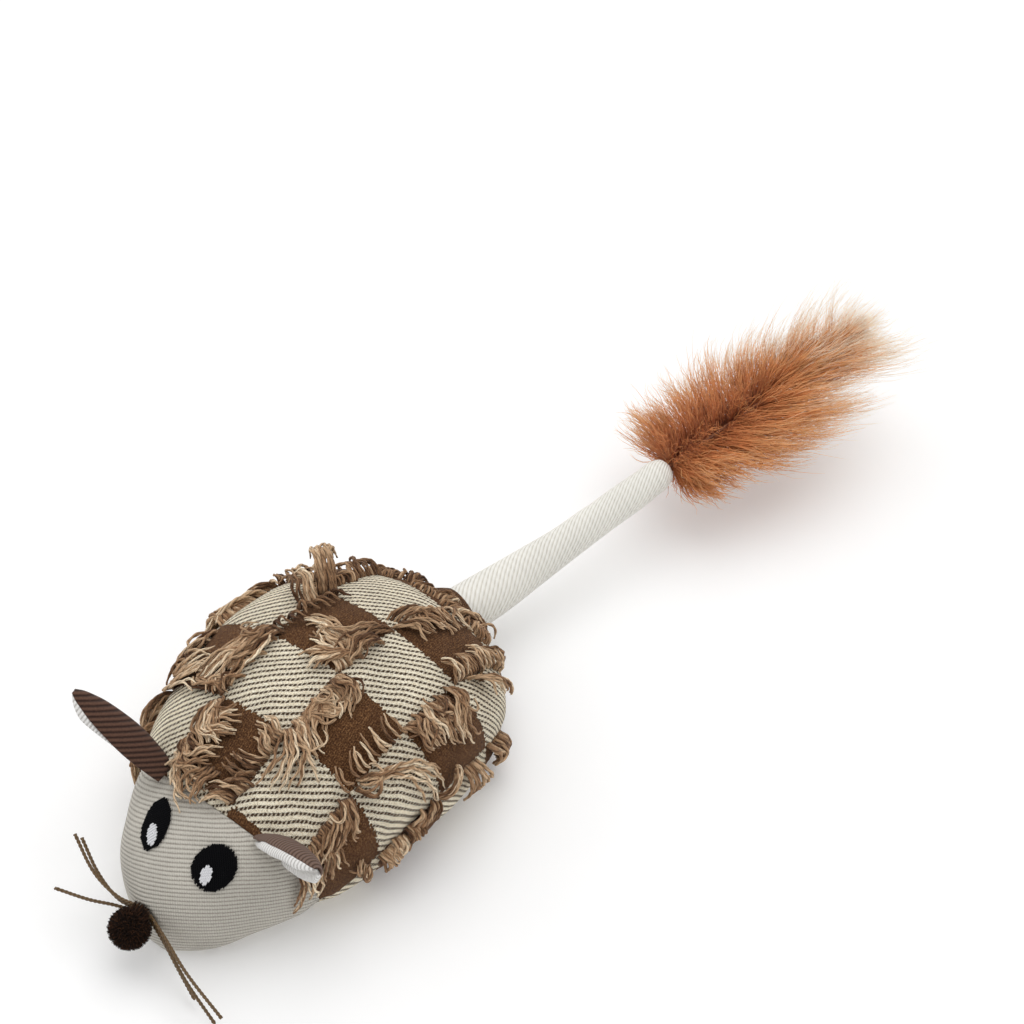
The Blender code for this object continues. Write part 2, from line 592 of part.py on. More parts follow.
def sector_window_half_width():
    tip = SECTOR_PITCH_RADIUS + ADDENDUM
    reach = TAIL_SWING + TURN * (SECTOR_TEETH / 2 + 0.5) / SECTOR_TEETH_IN_FULL
    return tip * math.sin(min(reach, TURN / 4)) + SECTOR_WINDOW_CLEARANCE


def make_gusset():
    """Small rear panel closing the body under the root of the tail."""
    outer = body_rings(MOUTH_Y + SEAM_GAP, REAR_Y, 0.0, 0.0, 0.0, GUSSET_RINGS)
    inner = body_rings(MOUTH_Y + SEAM_GAP, REAR_Y - COVER_WALL, COVER_WALL, 0.0, 0.0, GUSSET_RINGS)
    gusset = finish("rear_gusset", ring_mesh(inner[::-1] + outer), PAINTS["weave"])
    sweep = tail_sweep_outline(BODY_WIDTH / 2, TAIL_ROOT_RADIUS + 2 * FABRIC_GAP)
    low = TAIL_AXIS_HEIGHT - TAIL_ROOT_RADIUS - 2 * FABRIC_GAP
    cut(gusset, finish("tail_sweep_cutter", prism_mesh(sweep, low, BODY_HEIGHT + OVERRUN), None))


def make_fringe():
    """Bands of cut yarn along the lines between columns of squares, each over the dark square beside it."""
    rows = CHECK_ROWS * CHECK_LENGTH
    stations = np.linspace(FRINGE_START, rows - FRINGE_MARGIN, CHECK_ROWS * FRINGE_STATIONS_PER_ROW)
    for number, line in enumerate(CHECK_LINES, 1):
        across = CHECK_LINE_ACROSS + line * CHECK_ACROSS
        places, swells = [], []
        for place in stations:
            y = CHECK_START_Y + place
            if surface_point(y, across, 0.0)[2] < FRINGE_LOWEST:
                continue
            row_place = place / CHECK_LENGTH
            side = math.sin(math.pi * row_place) * (1 if line % 2 else -1)
            side = max(-1.0, min(1.0, FRINGE_TURN_SHARE * side))
            clump = 0.5 - 0.5 * math.cos(TURN * FRINGE_CLUMPS * row_place)
            fullness = 1.0 - FRINGE_CLUMP_SHARE * (1.0 - clump)
            reach = FRINGE_REACH * fullness
            middle = across + side * (FRINGE_MARGIN + reach / 2)
            half = reach / 2 * (FRINGE_NARROW_SHARE + (1.0 - FRINGE_NARROW_SHARE) * abs(side))
            places.append([(y, middle + half * spread) for spread in FRINGE_SPREAD_SHARES])
            swell = FRINGE_HEIGHT * fullness
            swells.append([swell * share for share in FRINGE_SWELL_SHARES])
        finish("fringe_line_%d" % number, sheet_mesh(*surface_grid(places, swells)), PAINTS["yarn"],
               surface_point(CHECK_START_Y, across, 0.0))


def make_rear_fringe():
    """Collar of yarn over the crown where the tail leaves the body."""
    stations = np.linspace(MOUTH_Y - REAR_FRINGE_LENGTH, MOUTH_Y - FRINGE_MARGIN, len(FRINGE_SWELL_SHARES))
    spread = np.linspace(-1.0, 1.0, REAR_FRINGE_COLUMNS)
    clump = 0.5 + 0.5 * np.cos(TURN * FRINGE_CLUMPS * spread)
    fullness = (1.0 - FRINGE_CLUMP_SHARE * (1.0 - clump)) * (1.0 - (1.0 - REAR_FRINGE_END_SHARE) * spread**4)
    places, swells = [], []
    for y, share in zip(stations, FRINGE_SWELL_SHARES):
        places.append([(y, REAR_FRINGE_HALF_SPAN * s) for s in spread])
        swells.append(REAR_FRINGE_HEIGHT * share * fullness)
    finish("fringe_tail_root", sheet_mesh(*surface_grid(places, swells)), PAINTS["yarn"])


# Face and ears

def oval_patch(name, y, across, length, width, lift, thickness, paint):
    """Thin oval sewn on the cover, following its surface."""
    rings = []
    top = lift + thickness
    for share, height in ((EYE_INNER_SHARE, top), (1.0, top), (1.0, lift), (EYE_INNER_SHARE, lift)):
        ring = []
        for x_share, y_share in circle(share, ROUND_SIDES):
            ring.append(surface_point(y + length / 2 * y_share, across + width / 2 * x_share, height))
        rings.append(ring)
    finish(name, ring_mesh(rings), paint, surface_point(y, across, lift))


def make_eyes():
    for side, sign in (("right", -1), ("left", 1)):
        across = FACE_SHIFT + sign * EYE_ACROSS
        oval_patch("eye_" + side, EYE_Y, across, EYE_LENGTH, EYE_WIDTH, FABRIC_GAP, EYE_THICKNESS,
                   PAINTS["black_stitch"])
        oval_patch("eye_highlight_" + side, EYE_Y - HIGHLIGHT_FORWARD, across, HIGHLIGHT_LENGTH,
                   HIGHLIGHT_WIDTH, 2 * FABRIC_GAP + EYE_THICKNESS, EYE_THICKNESS, PAINTS["white_stitch"])


def make_pompom():
    """Ball of yarn, flat where it is drawn against the snout and the whisker cords."""
    back = SNOUT_Y - POMPOM_SEAT
    centre = Vector((0.0, SNOUT_Y - POMPOM_RADIUS - COVER_WALL / 2, POMPOM_HEIGHT))
    rings = []
    for step in range(1, POMPOM_STEPS):
        angle = TURN / 2 * step / POMPOM_STEPS
        y = min(centre.y + POMPOM_RADIUS * math.cos(angle), back)
        radius = POMPOM_RADIUS * math.sin(angle)
        rings.append([(x, y, z) for x, z in circle(radius, POMPOM_SIDES, (0.0, centre.z))])
    finish("nose_pompom", ring_mesh(rings), PAINTS["pompom"], centre)


def ring_about(point, ahead, radius, sides):
    """Ring square to the way ahead, which is never upright."""
    side = ahead.cross(Vector((0.0, 0.0, 1.0))).normalized()
    up = side.cross(ahead.normalized())
    return [point + side * x + up * z for x, z in circle(radius, sides)]


def tube_rings(points, radius, sides):
    points = [Vector(p) for p in points]
    last = len(points) - 1
    return [ring_about(point, points[min(i + 1, last)] - points[max(i - 1, 0)], radius, sides)
            for i, point in enumerate(points)]


def make_whiskers():
    for number, route in enumerate(WHISKER_ROUTE_SHARES, 1):
        stops = np.array(route) * WHISKER_REACH + np.array((0.0, SNOUT_Y, 0.0))
        places = np.linspace(0.0, 1.0, len(stops))
        fine = np.linspace(0.0, 1.0, WHISKER_STEPS)
        points = np.stack([smooth_curve(fine, places, stops[:, k]) for k in range(3)], axis=1)
        rings = tube_rings(points, WHISKER_DIAMETER / 2, WIRE_SIDES)
        finish("whisker_cord_%d" % number, ring_mesh(rings), PAINTS["cord"], points[0])


def ear_grid(base, aim, hollow, inset, rim):
    """Petal folded about its length: rows of points from base to tip on an arc of the fold angle."""
    along = aim.normalized()
    facing = (hollow - hollow.dot(along) * along).normalized()
    beside = along.cross(facing)
    places = np.linspace(0.0, 1.0, EAR_STEPS)
    table = np.array(EAR_WIDTH_SHARES)
    rows = []
    for place in places:
        share = float(smooth_curve(place, table[:, 0], table[:, 1]))
        radius = (EAR_WIDTH / 2 - rim) / math.sin(EAR_FOLD) * share
        out = radius - inset * min(1.0, share / EAR_THINNING_SHARE)
        row = []
        for spread in EAR_SPREAD_SHARES:
            angle = EAR_FOLD * spread
            level = radius * math.cos(EAR_FOLD) - out * math.cos(angle)
            middle = base + along * (EAR_LENGTH - rim) * place
            row.append(middle + beside * out * math.sin(angle) + facing * level)
        rows.append(row)
    return np.array(rows)


def make_ears():
    """Petals whose roots are cut off where they meet the cover."""
    form = body_rings(SNOUT_Y, MOUTH_Y, -EAR_SEAT, 0.0, 0.0, COVER_RINGS)
    form = finish("form_cutter", ring_mesh(form), None)
    lining_start = EAR_WALL + TAPE_GAP
    lining_end = lining_start + EAR_LINING_WALL
    for side, (sign, aim, hollow) in EAR_AIMS.items():
        across = FACE_SHIFT + sign * EAR_ACROSS
        base = Vector(surface_point(SEAM_TOP_Y + EAR_BEHIND_SEAM, across, 0.0)) - aim.normalized() * EAR_ROOT
        outer = [ear_grid(base, aim, hollow, inset, 0.0) for inset in (0.0, EAR_WALL)]
        lining = [ear_grid(base, aim, hollow, inset, EAR_RIM) for inset in (lining_start, lining_end)]
        cut(finish("ear_%s_outer" % side, sheet_mesh(*outer), PAINTS["ear_brown"], base), form)
        cut(finish("ear_%s_lining" % side, sheet_mesh(*lining), PAINTS["ear_pale"], base), form)


# Tail and plume

def tail_point(distance):
    """Centre line of the tail and plume at a distance from the pivot, at rest."""
    if distance <= TAIL_LENGTH:
        height = TAIL_AXIS_HEIGHT + TAIL_RISE * (distance / TAIL_LENGTH) ** 2
    else:
        height = TAIL_AXIS_HEIGHT + TAIL_RISE + PLUME_RISE * (distance - TAIL_LENGTH) / PLUME_LENGTH
    return Vector((distance * math.sin(TAIL_REST), PIVOT_Y + distance * math.cos(TAIL_REST), height))


def tail_radius(distance):
    share = np.clip(distance / TAIL_LENGTH, TAIL_TAPER_SHARES[0, 0], 1.0)
    return TAIL_ROOT_RADIUS * float(smooth_curve(share, TAIL_TAPER_SHARES[:, 0], TAIL_TAPER_SHARES[:, 1]))


def tail_tube(places, radii, sides=TAIL_SIDES):
    rings = []
    for place, radius in zip(places, radii):
        ahead = tail_point(place + OVERRUN) - tail_point(place - OVERRUN)
        rings.append(ring_about(tail_point(place), ahead, radius, sides))
    return rings


def make_tail():
    pivot = (0.0, PIVOT_Y, TAIL_AXIS_HEIGHT)
    places = [TAIL_ROOT_FROM_PIVOT] + [TAIL_LENGTH * share for share in SLEEVE_STATION_SHARES]
    outer = [tail_radius(p) for p in places]
    outer[-1] = TAIL_HOLE_RADIUS + TAIL_WALL / 2
    inner_places = [p - TAIL_WALL * (p > TAIL_LENGTH * TIP_START_SHARE) for p in places]
    inner = [max(r - TAIL_WALL, TAIL_HOLE_RADIUS) for r in outer]
    rings = tail_tube(places + [TAIL_LENGTH], outer + [TAIL_HOLE_RADIUS]) + tail_tube(inner_places, inner)[::-1]
    finish("tail_sleeve", ring_mesh(rings, loop=True), PAINTS["tail"], pivot)

    core_start, core_end = ROD_BOSS_END + PART_GAP, TAIL_LENGTH * TAIL_FILL_SHARE
    core = list(np.linspace(core_start, core_end, TAIL_FILL_STEPS))
    step = ROD_END + PART_GAP
    fill = [tail_radius(p) - TAIL_WALL - FABRIC_GAP for p in core]
    bore_places = list(np.linspace(core_start, step, BORE_STEPS)) + [step, core_end]
    bore = [ROD_RADIUS + PART_GAP] * BORE_STEPS + [QUILL_RADIUS + PART_GAP] * 2
    rings = tail_tube(core, fill) + tail_tube(bore_places, bore)[::-1]
    finish("tail_stuffing", ring_mesh(rings, loop=True), PAINTS["stuffing"], pivot)

    rod = np.linspace(ROD_SEAT, ROD_END, ROD_STEPS)
    finish("tail_rod", ring_mesh(tail_tube(rod, [ROD_RADIUS] * ROD_STEPS, ROD_SIDES)), PAINTS["rod"], pivot)


def make_plume():
    pivot = (0.0, PIVOT_Y, TAIL_AXIS_HEIGHT)
    start = TAIL_LENGTH - QUILL_IN_TAIL
    end = TAIL_LENGTH + PLUME_LENGTH * QUILL_SHARE_OF_PLUME
    in_tail = np.linspace(start, TAIL_LENGTH, QUILL_STEPS)
    in_plume = np.linspace(TAIL_LENGTH, end, 2 * QUILL_STEPS)[1:]
    places = np.concatenate([in_tail, in_plume])
    radii = np.linspace(QUILL_RADIUS, QUILL_TIP_RADIUS, len(places))
    finish("feather_quill", ring_mesh(tail_tube(places, radii, ROD_SIDES)), PAINTS["quill"], pivot)
    first = TAIL_LENGTH + PLUME_FROM_TAIL
    beside = Vector((math.cos(TAIL_REST), -math.sin(TAIL_REST), 0.0))
    for side, sign in (("left", 1), ("right", -1)):
        rings = []
        for place, wide, thick in PLUME_FORM_SHARES:
            centre = tail_point(first + (PLUME_LENGTH - PLUME_FROM_TAIL) * place)
            near = QUILL_RADIUS + PART_GAP
            half = (PLUME_HALF_WIDTH * wide - near) / 2
            height = PLUME_THICKNESS / 2 * thick
            rings.append([centre + beside * sign * (near + half + half * x) + Vector((0.0, 0.0, height * z))
                          for x, z in circle(1.0, PLUME_SIDES)])
        finish("feather_vane_" + side, ring_mesh(rings), PAINTS["vane"], pivot)


# Gears

def tooth_flank(pitch, teeth, width_share):
    """Half of one tooth as (radius, half angle) rows from root to tip, with involute flanks."""
    base = pitch * math.cos(PRESSURE_ANGLE)
    root, tip = pitch - MODULE * DEDENDUM_SHARE, pitch + ADDENDUM

    def opening(radius):
        if radius <= base:
            return 0.0
        roll = math.acos(base / radius)
        return math.tan(roll) - roll

    half = TURN / teeth * width_share / 2
    radii = (root, pitch, tip)
    return [(r, half + opening(pitch) - opening(r)) for r in radii]


def gear_outline(pitch, teeth, first, last, centre_angle, centre):
    """Outline of the teeth from first to last, with tooth zero on the centre angle."""
    flank = tooth_flank(pitch, teeth, TOOTH_WIDTH_SHARE)
    points = []
    for tooth in range(first, last + 1):
        middle = centre_angle + TURN * tooth / teeth
        for radius, half in flank:
            points.append((radius, middle - half))
        for radius, half in flank[::-1]:
            points.append((radius, middle + half))
    return [(centre[0] + r * math.cos(a), centre[1] + r * math.sin(a)) for r, a in points]


def pinion_outline(y):
    """Pinion with a gap facing along +Y, where a tooth of the wheel that it drives points."""
    angle = TURN / 4 + TURN / PINION_TEETH / 2
    return gear_outline(PINION_PITCH_RADIUS, PINION_TEETH, 0, PINION_TEETH - 1, angle, (0.0, y))


def compound_gear(name, y, wheel_bottom, pinion_bottom, turn):
    """Wheel and pinion moulded in one: the wheel meets the gear ahead of it, the pinion the one behind."""
    wheel = gear_outline(WHEEL_PITCH_RADIUS, WHEEL_TEETH, 0, WHEEL_TEETH - 1, -TURN / 4, (0.0, y))
    wheel_top = wheel_bottom + WHEEL_FACE
    gear = finish(name, prism_mesh(wheel, wheel_bottom, wheel_top), PAINTS["gear"], (0.0, y, wheel_bottom), turn)
    blank = prism_mesh(pinion_outline(y), pinion_bottom, wheel_bottom + WHEEL_FACE / 2)
    join(gear, finish(name + "_pinion_blank", blank, None, (0.0, y, pinion_bottom), turn))
    cut(gear, bore(name + "_bore_cutter", PIN_RADIUS + PIN_CLEARANCE, pinion_bottom - OVERRUN,
                   wheel_top + OVERRUN, (0.0, y)))


def make_gears():
    turn_2 = -RATIO_SECTOR * -TAIL_REST
    turn_1 = -RATIO_STAGE * turn_2
    turn_motor = -RATIO_STAGE * turn_1
    compound_gear("reduction_gear_2", GEAR_2_Y, GEAR_2_WHEEL_BOTTOM, GEAR_2_PINION_BOTTOM, turn_2)
    compound_gear("reduction_gear_1", GEAR_1_Y, GEAR_1_WHEEL_BOTTOM, GEAR_1_PINION_BOTTOM, turn_1)
    low, top = MOTOR_PINION_BOTTOM, MOTOR_PINION_BOTTOM + MOTOR_PINION_FACE
    pinion = finish("motor_pinion", prism_mesh(pinion_outline(MOTOR_Y), low, top), PAINTS["brass"],
                    (0.0, MOTOR_Y, low), turn_motor)
    cut(pinion, bore("motor_pinion_bore_cutter", MOTOR_SHAFT_RADIUS + PIN_CLEARANCE, low - OVERRUN,
                     top + OVERRUN, (0.0, MOTOR_Y)))
    cylinder("motor_shaft", MOTOR_SHAFT_RADIUS, MOTOR_TOP - OVERRUN, top + TRAIN_GAP, (0.0, MOTOR_Y),
             PAINTS["steel"], SMALL_SIDES)
    for number, y in enumerate((GEAR_1_Y, GEAR_2_Y), 1):
        cylinder("gear_pin_%d" % number, PIN_RADIUS, FLOOR_TOP + PART_GAP, ROOF_BOTTOM - PART_GAP, (0.0, y),
                 PAINTS["steel"], SMALL_SIDES)


def make_lever():
    """Hub with a toothed sector ahead of the pivot and a socket for the tail rod behind it."""
    hub = cylinder("tail_lever", HUB_RADIUS, HUB_BOTTOM, HUB_TOP, (0.0, PIVOT_Y), PAINTS["lever"])
    span, middle = SECTOR_TEETH // 2, -TURN / 4 - TAIL_REST
    teeth = gear_outline(SECTOR_PITCH_RADIUS, SECTOR_TEETH_IN_FULL, -span, span, middle, (0.0, PIVOT_Y))
    ends = [(HUB_RADIUS / 2 * math.cos(angle), PIVOT_Y + HUB_RADIUS / 2 * math.sin(angle))
            for angle in (middle + TURN / 4, middle - TURN / 4)]
    sector = prism_mesh(teeth + ends, SECTOR_BOTTOM, SECTOR_BOTTOM + SECTOR_FACE)
    boss = ring_mesh(tail_tube([HUB_RADIUS / 2, ROD_BOSS_END], [ROD_BOSS_RADIUS] * 2, SMALL_SIDES))
    socket_ends = [ROD_SEAT - PART_GAP, ROD_BOSS_END + OVERRUN]
    socket = ring_mesh(tail_tube(socket_ends, [ROD_RADIUS + PART_GAP / 2] * 2, SMALL_SIDES))
    join(hub, finish("sector_blank", sector, None), finish("rod_boss_blank", boss, None))
    cut(hub, finish("rod_socket_cutter", socket, None),
        bore("pivot_bore_cutter", PIVOT_RADIUS + PIN_CLEARANCE, HUB_BOTTOM - OVERRUN, HUB_TOP + OVERRUN,
             (0.0, PIVOT_Y)))
    reach = HUB_SIDE_GAP + LUG_THICKNESS * PIVOT_PIN_SHARE
    cylinder("tail_pivot_pin", PIVOT_RADIUS, HUB_BOTTOM - reach, HUB_TOP + reach, (0.0, PIVOT_Y),
             PAINTS["steel"], SMALL_SIDES)


# Motor unit

def make_lower_case():
    """Tray with posts for the screws, bosses for the gear pins, rails for the board and a cradle for the cell."""
    case = finish("unit_lower_case", prism_mesh(unit_outline(0.0), UNIT_BOTTOM, CASE_SPLIT_HEIGHT),
                  PAINTS["case"])
    hollow = prism_mesh(unit_outline(-UNIT_WALL), FLOOR_TOP, CASE_SPLIT_HEIGHT + OVERRUN)
    cut(case, finish("lower_hollow_cutter", hollow, None))
    lug_top, low = HUB_BOTTOM - HUB_SIDE_GAP, UNIT_BOTTOM + UNIT_WALL / 2
    join(case, finish("lower_lug_blank", prism_mesh(lug_outline(0.0), lug_top - LUG_THICKNESS, lug_top), None))
    for number, post in enumerate(POSTS, 1):
        join(case, cylinder("lower_post_blank_%d" % number, POST_RADIUS, low, CASE_SPLIT_HEIGHT - CASE_GAP / 2,
                            post))
    for number, (y, top) in enumerate(((GEAR_1_Y, GEAR_1_PINION_BOTTOM), (GEAR_2_Y, GEAR_2_PINION_BOTTOM)), 1):
        join(case, cylinder("lower_boss_blank_%d" % number, BOSS_RADIUS, low, top - PART_GAP, (0.0, y)))
    for sign in (-1, 1):
        x = sign * (BOARD_HALF_WIDTH - BOARD_RAIL_WIDTH)
        join(case, box("board_rail_blank", (x - BOARD_RAIL_WIDTH / 2, BOARD_FRONT_Y, low),
                       (x + BOARD_RAIL_WIDTH / 2, BOARD_FRONT_Y + BOARD_LENGTH, BOARD_HEIGHT - PART_GAP)))
        x = sign * BATTERY_LENGTH / 4
        join(case, box("cradle_blank", (x - BOARD_RAIL_WIDTH / 2, BATTERY_Y - BATTERY_RADIUS, low),
                       (x + BOARD_RAIL_WIDTH / 2, BATTERY_Y + BATTERY_RADIUS, FLOOR_TOP + BATTERY_RADIUS / 2)))
    cut(case, battery_solid("cradle_cutter", BATTERY_RADIUS + PART_GAP, BATTERY_LENGTH + 2 * PART_GAP, None))
    cut_lower_case(case)


def cut_lower_case(case):
    """Holes for screws, pins, button, socket and lamp."""
    outside = UNIT_BOTTOM - OVERRUN
    head_top = UNIT_BOTTOM + SCREW_SINK + SCREW_HEAD_HEIGHT + SCREW_PILOT_GAP
    for number, post in enumerate(POSTS, 1):
        cut(case, bore("screw_hole_cutter_%d" % number, SCREW_RADIUS + SCREW_PILOT_GAP, outside,
                       CASE_SPLIT_HEIGHT + OVERRUN, post),
            cylinder("screw_head_cutter_%d" % number, SCREW_HEAD_RADIUS + PART_GAP, outside, head_top, post))
    for number, y in enumerate((GEAR_1_Y, GEAR_2_Y), 1):
        cut(case, bore("lower_pin_cutter_%d" % number, PIN_RADIUS + PIN_CLEARANCE, FLOOR_TOP, MOTOR_TOP,
                       (0.0, y)))
    inside = FLOOR_TOP + OVERRUN / 2
    cut(case, bore("lower_pivot_cutter", PIVOT_RADIUS + PIN_CLEARANCE, UNIT_BOTTOM, HUB_BOTTOM, (0.0, PIVOT_Y)),
        cylinder("button_hole_cutter", BUTTON_RADIUS + PART_GAP, outside, inside,
                 (-BUTTON_ACROSS, BOARD_MIDDLE_Y)),
        finish("socket_hole_cutter", prism_mesh(socket_outline(PART_GAP), outside, inside), None),
        bore("lamp_hole_cutter", LAMP_RADIUS + PART_GAP, outside, inside, (0.0, BOARD_MIDDLE_Y)))


def make_upper_case():
    """Lid with the window that the sector swings through."""
    bottom, inside = CASE_SPLIT_HEIGHT + CASE_GAP, CASE_SPLIT_HEIGHT + CASE_GAP - OVERRUN
    case = finish("unit_upper_case", prism_mesh(unit_outline(0.0), bottom, UNIT_TOP), PAINTS["case"])
    window_top, blank_top = HUB_TOP + HUB_SIDE_GAP, ROOF_BOTTOM + UNIT_WALL / 2
    cut(case, finish("upper_hollow_cutter", prism_mesh(unit_outline(-UNIT_WALL), inside, ROOF_BOTTOM), None),
        finish("sector_window_cutter", prism_mesh(sweep_window(0.0), inside, window_top), None))
    lug = prism_mesh(lug_outline(0.0), window_top, window_top + LUG_THICKNESS)
    join(case, finish("upper_lug_blank", lug, None))
    for number, post in enumerate(POSTS, 1):
        join(case, cylinder("upper_post_blank_%d" % number, UPPER_POST_RADIUS, bottom, blank_top, post))
    for number, (y, low) in enumerate(((GEAR_1_Y, GEAR_1_WHEEL_BOTTOM), (GEAR_2_Y, GEAR_2_WHEEL_BOTTOM)), 1):
        join(case, cylinder("upper_boss_blank_%d" % number, UPPER_BOSS_RADIUS, low + WHEEL_FACE + PART_GAP,
                            blank_top, (0.0, y)))
        cut(case, bore("upper_pin_cutter_%d" % number, PIN_RADIUS + PIN_CLEARANCE, MOTOR_TOP - OVERRUN,
                       ROOF_BOTTOM, (0.0, y)))
    for number, post in enumerate(POSTS, 1):
        cut(case, bore("pilot_cutter_%d" % number, SCREW_RADIUS + SCREW_PILOT_GAP, inside,
                       UNIT_BOTTOM + SCREW_LENGTH + OVERRUN, post))
    cut(case, bore("upper_pivot_cutter", PIVOT_RADIUS + PIN_CLEARANCE, HUB_TOP,
                   window_top + LUG_THICKNESS + OVERRUN, (0.0, PIVOT_Y)))


def make_screws():
    low = UNIT_BOTTOM + SCREW_SINK
    profile = ((SCREW_HEAD_RADIUS, 0.0), (SCREW_HEAD_RADIUS, SCREW_HEAD_HEIGHT), (SCREW_RADIUS, SCREW_HEAD_HEIGHT),
               (SCREW_RADIUS, SCREW_LENGTH - SCREW_RADIUS), (SCREW_RADIUS / 2, SCREW_LENGTH))
    for number, centre in enumerate(POSTS, 1):
        rings = [[(x, y, low + height) for x, y in circle(radius, SMALL_SIDES, centre)]
                 for radius, height in profile]
        finish("case_screw_%d" % number, ring_mesh(rings), PAINTS["steel"], (*centre, low))


def battery_solid(name, radius, length, paint):
    centre = (0.0, BATTERY_Y, FLOOR_TOP + PART_GAP + BATTERY_RADIUS)
    rings = [[(x, centre[1] + y, centre[2] + z) for y, z in circle(radius, ROUND_SIDES)]
             for x in (-length / 2, length / 2)]
    return finish(name, ring_mesh(rings), paint, centre)


def make_motor():
    """Small can motor, round with two flats, shaft upward through its collar."""
    outline = []
    for x, y in circle(MOTOR_WIDTH / 2, ROUND_SIDES):
        outline.append((x, MOTOR_Y + max(-MOTOR_DEPTH / 2, min(MOTOR_DEPTH / 2, y))))
    motor = finish("motor", prism_mesh(outline, MOTOR_BOTTOM, MOTOR_TOP), PAINTS["steel"],
                   (0.0, MOTOR_Y, MOTOR_BOTTOM))
    cut(motor, bore("motor_shaft_cutter", MOTOR_SHAFT_RADIUS + PIN_CLEARANCE, MOTOR_TOP - OVERRUN - PART_GAP,
                    MOTOR_TOP + OVERRUN, (0.0, MOTOR_Y)))


def socket_outline(grow):
    """Upright charging socket in plan: a long rounded slot."""
    radius = SOCKET_WIDTH / 2 + grow
    run = SOCKET_LENGTH / 2 - SOCKET_WIDTH / 2
    points = []
    for sign, start in ((1, 0.0), (-1, TURN / 2)):
        for step in range(SLOT_STEPS + 1):
            angle = start + TURN / 2 * step / SLOT_STEPS
            y = BOARD_MIDDLE_Y + sign * run + radius * math.sin(angle)
            points.append((BUTTON_ACROSS + radius * math.cos(angle), y))
    return points


def make_board():
    rear = BOARD_FRONT_Y + BOARD_LENGTH
    top = BOARD_HEIGHT + BOARD_THICKNESS
    board = box("circuit_board", (-BOARD_HALF_WIDTH, BOARD_FRONT_Y, BOARD_HEIGHT), (BOARD_HALF_WIDTH, rear, top),
                PAINTS["board"])
    for number, y in enumerate((GEAR_1_Y, GEAR_2_Y), 1):
        cut(board, cylinder("board_hole_cutter_%d" % number, BOARD_HOLE_RADIUS, BOARD_HEIGHT - OVERRUN,
                            top + OVERRUN, (0.0, y)))
    half = SWITCH_SIZE / 2
    switch_bottom = BOARD_HEIGHT - PART_GAP - SWITCH_HEIGHT
    switch = box("power_switch", (-BUTTON_ACROSS - half, BOARD_MIDDLE_Y - half, switch_bottom),
                 (-BUTTON_ACROSS + half, BOARD_MIDDLE_Y + half, BOARD_HEIGHT - PART_GAP), PAINTS["switch"])
    flange_top = FLOOR_TOP + PART_GAP + BUTTON_FLANGE_HEIGHT
    join(switch, cylinder("plunger_blank", PLUNGER_RADIUS, flange_top + BUTTON_TRAVEL + PART_GAP / 2,
                          switch_bottom + PART_GAP, (-BUTTON_ACROSS, BOARD_MIDDLE_Y), sides=SMALL_SIDES))
    socket_bottom = UNIT_BOTTOM + SCREW_SINK
    socket = finish("charging_socket", prism_mesh(socket_outline(0.0), socket_bottom, BOARD_HEIGHT - PART_GAP),
                    PAINTS["steel"])
    cut(socket, finish("socket_mouth_cutter", prism_mesh(socket_outline(-SOCKET_WALL), socket_bottom - OVERRUN,
                                                         BOARD_HEIGHT - OVERRUN - PART_GAP), None))
    cylinder("charge_lamp", LAMP_RADIUS, UNIT_BOTTOM + SCREW_SINK, BOARD_HEIGHT - PART_GAP, (0.0, BOARD_MIDDLE_Y),
             PAINTS["lamp"], SMALL_SIDES)
    cylinder("touch_sensor", SENSOR_RADIUS, top + PART_GAP, top + PART_GAP + SENSOR_HEIGHT,
             (-SENSOR_ACROSS, BOARD_FRONT_Y + SENSOR_BEHIND_BOARD_FRONT), PAINTS["brass"], SMALL_SIDES)


def make_button():
    centre = (-BUTTON_ACROSS, BOARD_MIDDLE_Y)
    flange_low = FLOOR_TOP + PART_GAP
    face, flange = UNIT_BOTTOM - BUTTON_PROUD, BUTTON_RADIUS + BUTTON_FLANGE
    profile = ((BUTTON_RADIUS - PART_GAP, face), (BUTTON_RADIUS, face + BUTTON_PROUD / 2),
               (BUTTON_RADIUS, flange_low), (flange, flange_low), (flange, flange_low + BUTTON_FLANGE_HEIGHT))
    rings = [[(x, y, z) for x, y in circle(radius, ROUND_SIDES, centre)] for radius, z in profile]
    finish("power_button", ring_mesh(rings), PAINTS["button"], (*centre, UNIT_BOTTOM))


def make_lead(name, stops, paint):
    """Insulated wire through a few stops."""
    fine = np.linspace(0.0, 1.0, LEAD_STEPS)
    stops = np.array(stops)
    places = np.linspace(0.0, 1.0, len(stops))
    points = np.stack([smooth_curve(fine, places, stops[:, k]) for k in range(3)], axis=1)
    finish(name, ring_mesh(tube_rings(points, LEAD_RADIUS, WIRE_SIDES)), PAINTS[paint], points[0])


def make_leads():
    """Pairs of wires from the cell and the motor to the top of the board."""
    landing = BOARD_HEIGHT + BOARD_THICKNESS + PART_GAP + LEAD_RADIUS
    board_y = BOARD_FRONT_Y + LEAD_PITCH
    cell_y = BATTERY_Y + BATTERY_RADIUS + PART_GAP + LEAD_RADIUS
    motor_y = MOTOR_Y + MOTOR_DEPTH / 2 + PART_GAP
    for number, paint in enumerate(("red_lead", "black_lead"), 1):
        shift = LEAD_PITCH * number
        x = MOTOR_WIDTH / 2 + shift
        stops = ((x, cell_y, landing), (x, (cell_y + board_y) / 2, landing + LEAD_RADIUS), (x, board_y, landing))
        make_lead("cell_lead_%d" % number, stops, paint)
        x = shift - LEAD_PITCH - MOTOR_WIDTH / 4
        stops = ((x, motor_y, landing + LEAD_RADIUS * 2), (x, (motor_y + board_y) / 2, landing + LEAD_RADIUS),
                 (x, board_y + LEAD_RADIUS, landing))
        make_lead("motor_lead_%d" % number, stops, paint)


# Belly closure

